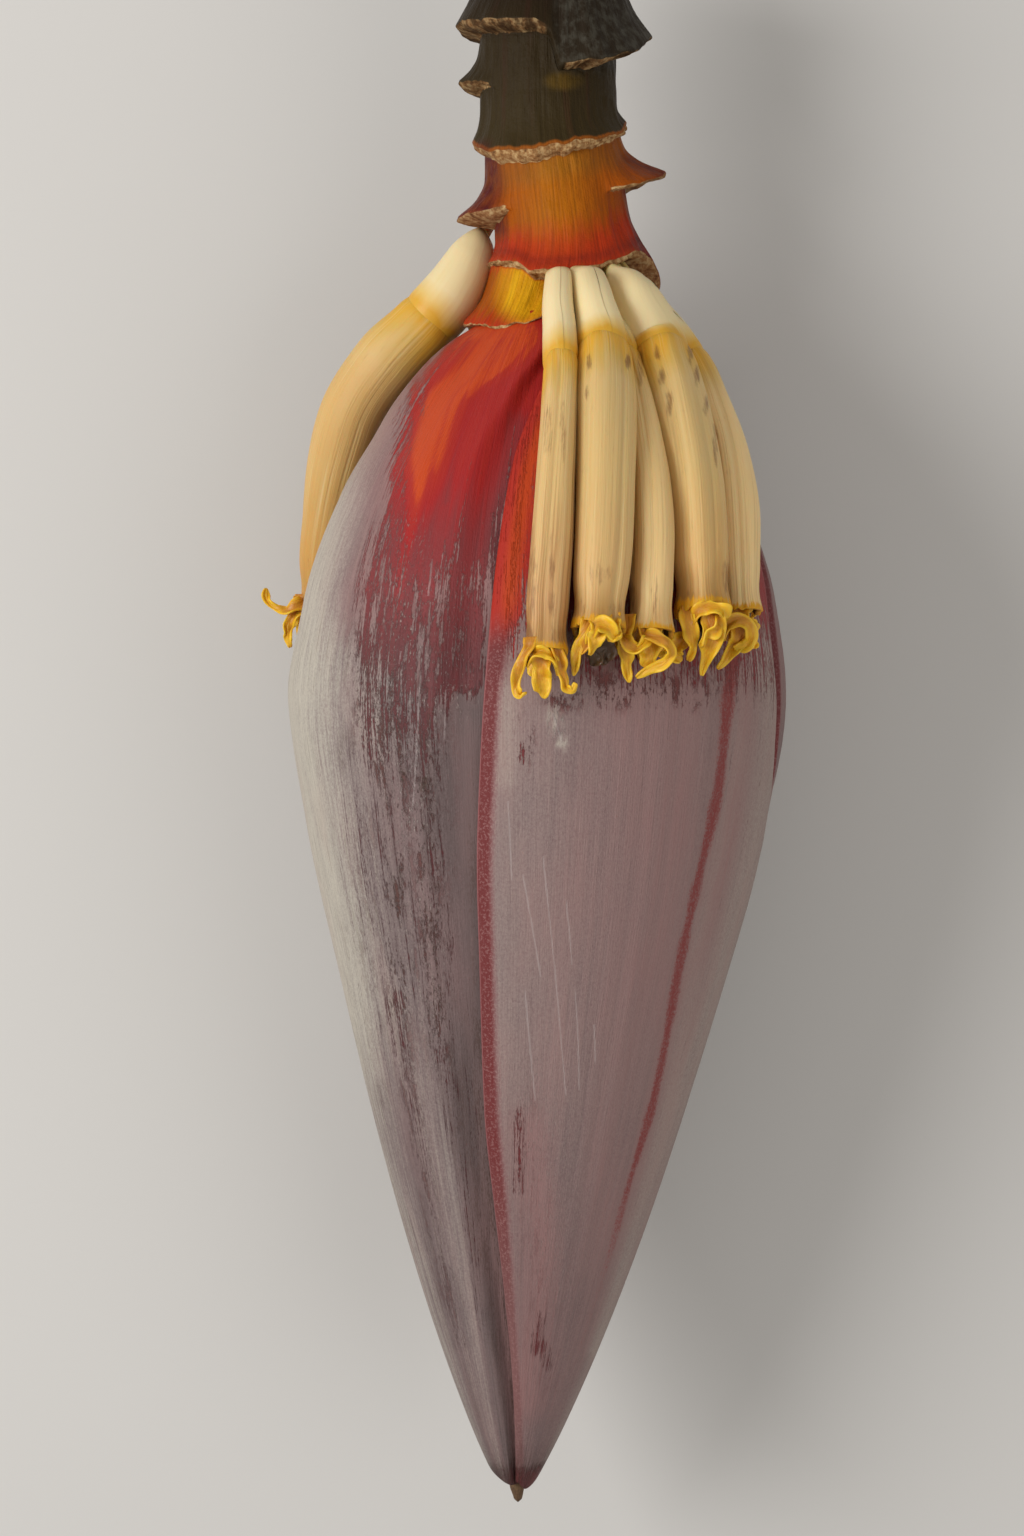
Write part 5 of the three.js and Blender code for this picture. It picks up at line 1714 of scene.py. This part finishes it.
class BractSettings(bpy.types.PropertyGroup):
    """Colours of the bracts and of the dry tip"""

    deep_maroon: colour_setting("Deep maroon", "Skin in the shade of the folds", (0.1, 0.024, 0.025))
    maroon: colour_setting("Maroon", "Bare skin", (0.21, 0.03, 0.032))
    red: colour_setting("Red", "Bare skin near the neck", (0.36, 0.013, 0.013))
    orange_red: colour_setting("Orange red", "The bright streak of the shoulder", (0.42, 0.022, 0.01))
    orange: colour_setting("Orange", "Middle of the bright streak", (0.56, 0.06, 0.008))
    shaded_wax: colour_setting("Shaded wax", "Darkest grey of the bloom", (0.13, 0.094, 0.09))
    wax: colour_setting("Wax", "Usual grey of the bloom", (0.19, 0.142, 0.137))
    light_wax: colour_setting("Light wax", "Lighter bloom", (0.3, 0.25, 0.225))
    pale_wax: colour_setting("Pale wax", "Thick bloom", (0.42, 0.38, 0.325))
    cream_wax: colour_setting("Cream wax", "Thickest bloom on the left flank", (0.52, 0.48, 0.4))
    rosy_wax: colour_setting("Rosy wax", "Thin bloom with the skin showing through", (0.31, 0.17, 0.16))
    stripe: colour_setting("Stripe", "Where another bract's margin lay", (0.23, 0.04, 0.036))
    # The rim colour is a painted highlight along a free margin's raised edge.
    rim: colour_setting("Rim", "Thin edge of a free margin", (0.3, 0.1, 0.1))
    strip_pink: colour_setting("Margin mauve", "Inner side of a free margin", (0.24, 0.1, 0.1))
    strip_red: colour_setting("Margin red", "Grainy slope of a free margin", (0.16, 0.028, 0.028))
    strip_dust: colour_setting("Margin dust", "Specks of bloom on a free margin", (0.34, 0.17, 0.16))
    # Also the colour of the painted shadow beside the front seam.
    soil: colour_setting("Brown marks", "Scars and dried edges", (0.07, 0.036, 0.026))
    chip: colour_setting("Chips", "Lifted flakes of bloom", (0.5, 0.42, 0.38))
    scratch: colour_setting("Scratches", "Thin pale scratches in the bloom", (0.5, 0.42, 0.4))
    skin_roughness: roughness_setting("Skin roughness", "Roughness of bare skin", 0.46)
    wax_roughness: roughness_setting("Wax roughness", "Roughness of the bloom", 0.62)
    dry_dark: colour_setting("Dry dark", "Folds of the dry tip", (0.045, 0.02, 0.012))
    dry_brown: colour_setting("Dry brown", "The dry tip", (0.11, 0.055, 0.026))
    dry_straw: colour_setting("Dry straw", "Bleached edges of the dry tip", (0.24, 0.15, 0.07))


class StalkSettings(bpy.types.PropertyGroup):
    """Colours of the stalk, from its cut end down"""

    stalk_dark: colour_setting("Dark", "Upper stalk and hood", (0.02, 0.012, 0.006))
    stalk_olive: colour_setting("Olive", "Between the upper collars", (0.042, 0.028, 0.01))
    # Blue sheen: the hood's bloom with a painted reflection on it.
    hood_bloom_and_sheen: colour_setting("Blue sheen", "Bloom on the hood", (0.12, 0.115, 0.09))
    stalk_orange: colour_setting("Orange", "Middle of the lower section", (0.36, 0.075, 0.004))
    stalk_ochre: colour_setting("Ochre", "Top of the lower section", (0.3, 0.082, 0.009))
    stalk_red: colour_setting("Red", "Lower section", (0.44, 0.036, 0.008))
    stalk_yellow: colour_setting("Yellow", "Bed of the flowers", (0.8, 0.42, 0.008))
    stalk_purple: colour_setting("Purple", "Ribs and wings", (0.09, 0.012, 0.013))
    torn_brown: colour_setting("Torn brown", "Dried torn tissue", (0.08, 0.034, 0.014))
    torn_tan: colour_setting("Torn tan", "Torn tissue", (0.32, 0.16, 0.06))
    torn_cream: colour_setting("Torn cream", "Fresh torn tissue", (0.56, 0.38, 0.18))


class FlowerSettings(bpy.types.PropertyGroup):
    """Colours of the flowers"""

    ovary: colour_setting("Ovary", "Cream ovary", (0.84, 0.68, 0.37))
    ovary_green: colour_setting("Ovary green", "Ovary at the stalk", (0.62, 0.48, 0.17))
    ovary_warm: colour_setting("Ovary warm", "Ovary near the tepals", (0.78, 0.52, 0.15))
    junction: colour_setting("Junction", "Yellow ring below the ovary", (0.72, 0.38, 0.03))
    tepal_yellow: colour_setting("Yellow", "Tepals below the junction", (0.66, 0.41, 0.09))
    tepal: colour_setting("Cream", "Middle of the tepals", (0.7, 0.48, 0.19))
    tepal_light: colour_setting("Light cream", "Pale streaks of the tepals", (0.8, 0.64, 0.34))
    tepal_tan: colour_setting("Tan", "End of the tepals", (0.46, 0.24, 0.06))
    streak_brown: colour_setting("Streaks", "Long brown streaks", (0.36, 0.17, 0.05))
    fleck_brown: colour_setting("Flecks", "Small brown flecks", (0.2, 0.08, 0.025))
    # Mouth: painted shade inside a tube's hollow mouth; the same dark brown is the colour of the withered
    # parts.
    mouth_shade_and_withered: colour_setting("Mouth", "Inside of a tube", (0.07, 0.035, 0.012))
    # Gold is partly painted shade at the lobes' foot, deep in the mouth.
    lobe_gold_and_shade: colour_setting("Gold", "Foot of the lobes", (0.5, 0.19, 0.01))
    lobe_yellow: colour_setting("Lobe yellow", "The curled lobes", (0.68, 0.32, 0.008))
    # Lobe bright is a painted highlight along the lobes' edges.
    lobe_highlight: colour_setting("Lobe bright", "Edges of the lobes", (0.88, 0.52, 0.02))
    lobe_amber: colour_setting("Lobe amber", "Tips of the lobes", (0.56, 0.23, 0.01))


class StageSettings(bpy.types.PropertyGroup):
    """The lights, the lens and the floor"""

    lens: bpy.props.FloatProperty(
        name="Lens", description="Focal length, in mm", default=100.0, min=20, max=300,
    )
    key_power: power_setting("Key light", "Power of the soft key light", 5.2)
    fill_power: power_setting("Fill light", "Power of the fill light", 1.6)
    sky: bpy.props.FloatProperty(
        name="Surroundings", description="Brightness of the surroundings", default=0.42, min=0,
    )
    floor: colour_setting("Floor", "The pale floor", (0.62, 0.6, 0.57))


# ---- operators -----------------------------------------------------------------------


def pointed(end, depth):
    """A bract's end: its middle at this y, and its sides further by the depth."""
    return lambda across: end + depth * (2 * across - 1) ** 2


# The y of the side bracts' tips, from one margin (0) to the other (1).
LEFT_TIP = [(0, -132), (0.45, -138.8), (0.8, -140.8), (1, -140.4)]
RIGHT_TIP = [(0, -140.0), (0.3, -141.6), (1, -137.0)]


class BLOSSOM_OT_bracts(bpy.types.Operator):
    """Builds the three bracts"""

    bl_idname = "blossom.bracts"
    bl_label = "Bracts"

    def execute(self, context):
        look = context.scene.blossom_bracts
        left = bract(
            "bract_left_skin", lambda y: left_seam(y) - COVERED, lambda y: front_seam(y) + COVERED,
            pointed(69, -1.5), curve_through(LEFT_TIP),
            lambda y, angle: np.maximum(dip(angle - front_seam(y)), snug_dip(left_seam(y) - angle)),
            free_start=False, free_stop=False, rows=210, columns=171,
            relief=left_relief, looks=left_looks,
        )
        dress(left, bract_finish("bract_left_finish", look), "bract_skin", "bract_left")
        right = bract(
            "bract_right_skin", front_seam, lambda y: right_seam(y) + COVERED,
            pointed(68.4, -2), curve_through(RIGHT_TIP),
            lambda y, angle: snug_dip(angle - right_seam(y)),
            free_start=True, free_stop=False, rows=210, columns=151,
            relief=right_relief, looks=right_looks, strip=MARGIN_WIDTH,
        )
        dress(right, bract_finish("bract_right_finish", look), "bract_skin", "bract_right")
        back = bract(
            "bract_back_skin", right_seam, lambda y: 360 + left_seam(y),
            pointed(69, -2.5), pointed(-137, 8), lambda y, angle: 0 * angle,
            free_start=True, free_stop=True, rows=180, columns=171,
            relief=back_relief, looks=back_looks,
        )
        dress(back, bract_finish("bract_back_finish", look), "bract_skin", "bract_back")
        return {"FINISHED"}


class BLOSSOM_OT_dry_tip(bpy.types.Operator):
    """Builds the inner bud with its dry brown point"""

    bl_idname = "blossom.dry_tip"
    bl_label = "Dry tip"

    def execute(self, context):
        tip = tube("dry_point", 120, 61, dry_tip_rings)
        dress(tip, dry_finish(context.scene.blossom_bracts), "dry_tip", "inner_bud")
        return {"FINISHED"}


class BLOSSOM_OT_stalk(bpy.types.Operator):
    """Builds the knotted stalk with its torn collars"""

    bl_idname = "blossom.stalk"
    bl_label = "Stalk"

    def execute(self, context):
        stem = tube("knotted_stalk", STALK_ROWS, 241, stalk_rings)
        dress(stem, stalk_finish(context.scene.blossom_stalk), "stalk_skin", "stalk")
        return {"FINISHED"}


# Each flower's tan, its share of brown streaks and its age, from 0 for fresh to 1.
TEPAL_TONES = {
    "flower_1": ((0.64, 0.37, 0.15), 1.4, 0.2),
    "flower_2": ((0.68, 0.43, 0.17), 0.7, 0.1),
    "flower_3": ((0.84, 0.58, 0.26), 0.8, 0.5),
    "flower_4": ((0.68, 0.42, 0.15), 0.9, 0.0),
    # flower_5's light tan is partly painted light, lifting it out of the shade on the blossom's right side.
    "flower_5": ((0.9, 0.64, 0.3), 1.0, 0.8),
    "flower_left": ((0.6, 0.32, 0.08), 0.4, 0.5),
}


class BLOSSOM_OT_flowers(bpy.types.Operator):
    """Builds the six male flowers"""

    bl_idname = "blossom.flowers"
    bl_label = "Flowers"

    def execute(self, context):
        look = context.scene.blossom_flowers
        finishes = {"ovary": ovary_finish(look), "lobe": lobe_finish(look)}
        for flower, (tan, streaks, age) in TEPAL_TONES.items():
            finishes[flower] = tepal_finish(look, f"{flower}_finish", (*tan, 1), streaks, age)
        for index, flower in enumerate(FLOWER_PATHS):
            build_flower(flower, index + 1, finishes)
        return {"FINISHED"}


FLOOR_SIZE = 6
SENSOR_WIDTH = 36
FARTHEST_SEEN = 10
DAYLIGHT = (1.0, 0.98, 0.95, 1)


class BLOSSOM_OT_stage(bpy.types.Operator):
    """Sets the floor, the lights and the camera"""

    bl_idname = "blossom.stage"
    bl_label = "Stage"

    def execute(self, context):
        look = context.scene.blossom_stage
        scene = context.scene
        bpy.ops.object.select_all(action="DESELECT")
        bpy.ops.mesh.primitive_plane_add(size=FLOOR_SIZE)
        floor = bpy.context.object
        floor.name = "floor"
        r = Recipe("floor_finish")
        tone = r.solid_noise(6.0, 2.0, 0.5)
        paler = [min(1.0, c * 1.03) for c in look.floor[:3]]
        floor.data.materials.append(r.finish(r.blend(tone, look.floor, (*paler, 1)), 0.9))
        for name, place_m, size, power, aim in [
            ("key", (-0.62, 0.12, 0.62), 0.5, look.key_power, (-0.01, 0.0, 0.05)),
            ("fill", (0.55, -0.25, 0.75), 0.7, look.fill_power, (0.0, 0.0, 0.04)),
        ]:
            bpy.ops.object.light_add(type="AREA", location=place_m)
            lamp = bpy.context.object
            lamp.name = name
            lamp.data.shape = "DISK"
            lamp.data.size = size
            lamp.data.energy = power
            way = np.array(aim) - np.array(place_m)
            level = math.hypot(way[0], way[1])
            lamp.rotation_euler = (math.pi / 2 + math.atan2(way[2], level), 0, math.atan2(-way[0], way[1]))
        world = bpy.data.worlds.new("surroundings")
        world.use_nodes = True
        background = world.node_tree.nodes["Background"]
        background.inputs["Color"].default_value = DAYLIGHT
        background.inputs["Strength"].default_value = look.sky
        scene.world = world
        eye = (EYE_PLACE[0] * MM, (EYE_PLACE[1] + RING_CENTRE[1]) * MM, (RING_CENTRE[2] + EYE_HEIGHT) * MM)
        bpy.ops.object.camera_add(location=eye, rotation=(0, 0, 0))
        camera = bpy.context.object
        camera.data.lens = look.lens
        camera.data.sensor_width = SENSOR_WIDTH
        camera.data.clip_end = FARTHEST_SEEN
        camera.data.dof.use_dof = False
        scene.camera = camera
        scene.view_settings.view_transform = "Standard"
        return {"FINISHED"}


class BLOSSOM_PT_panel(bpy.types.Panel):
    """Lists the blossom's steps and settings"""

    bl_idname = "BLOSSOM_PT_panel"
    bl_label = "Banana blossom"
    bl_space_type = "VIEW_3D"
    bl_region_type = "UI"
    bl_category = "Blossom"

    def draw(self, context):
        """A button for each step, then a box for each group of settings."""
        for operator in OPERATORS:
            self.layout.operator(operator.bl_idname)
        for name, settings in SETTINGS.items():
            box = self.layout.box()
            for key in settings.__annotations__:
                box.prop(getattr(context.scene, name), key)


OPERATORS = (
    BLOSSOM_OT_bracts, BLOSSOM_OT_dry_tip, BLOSSOM_OT_stalk, BLOSSOM_OT_flowers, BLOSSOM_OT_stage,
)
SETTINGS = {
    "blossom_bracts": BractSettings,
    "blossom_stalk": StalkSettings,
    "blossom_flowers": FlowerSettings,
    "blossom_stage": StageSettings,
}
CLASSES = (*SETTINGS.values(), *OPERATORS, BLOSSOM_PT_panel)


def register():
    """Adds the blossom's classes and settings to Blender."""
    for blender_class in CLASSES:
        bpy.utils.register_class(blender_class)
    for name, settings in SETTINGS.items():
        setattr(bpy.types.Scene, name, bpy.props.PointerProperty(type=settings))


def unregister():
    """Takes them out again."""
    for name in SETTINGS:
        delattr(bpy.types.Scene, name)
    for blender_class in reversed(CLASSES):
        bpy.utils.unregister_class(blender_class)


def main():
    """Builds the blossom and its stage."""
    register()
    bpy.ops.blossom.bracts()
    bpy.ops.blossom.dry_tip()
    bpy.ops.blossom.stalk()
    bpy.ops.blossom.flowers()
    bpy.ops.blossom.stage()


if __name__ == "__main__":
    main()
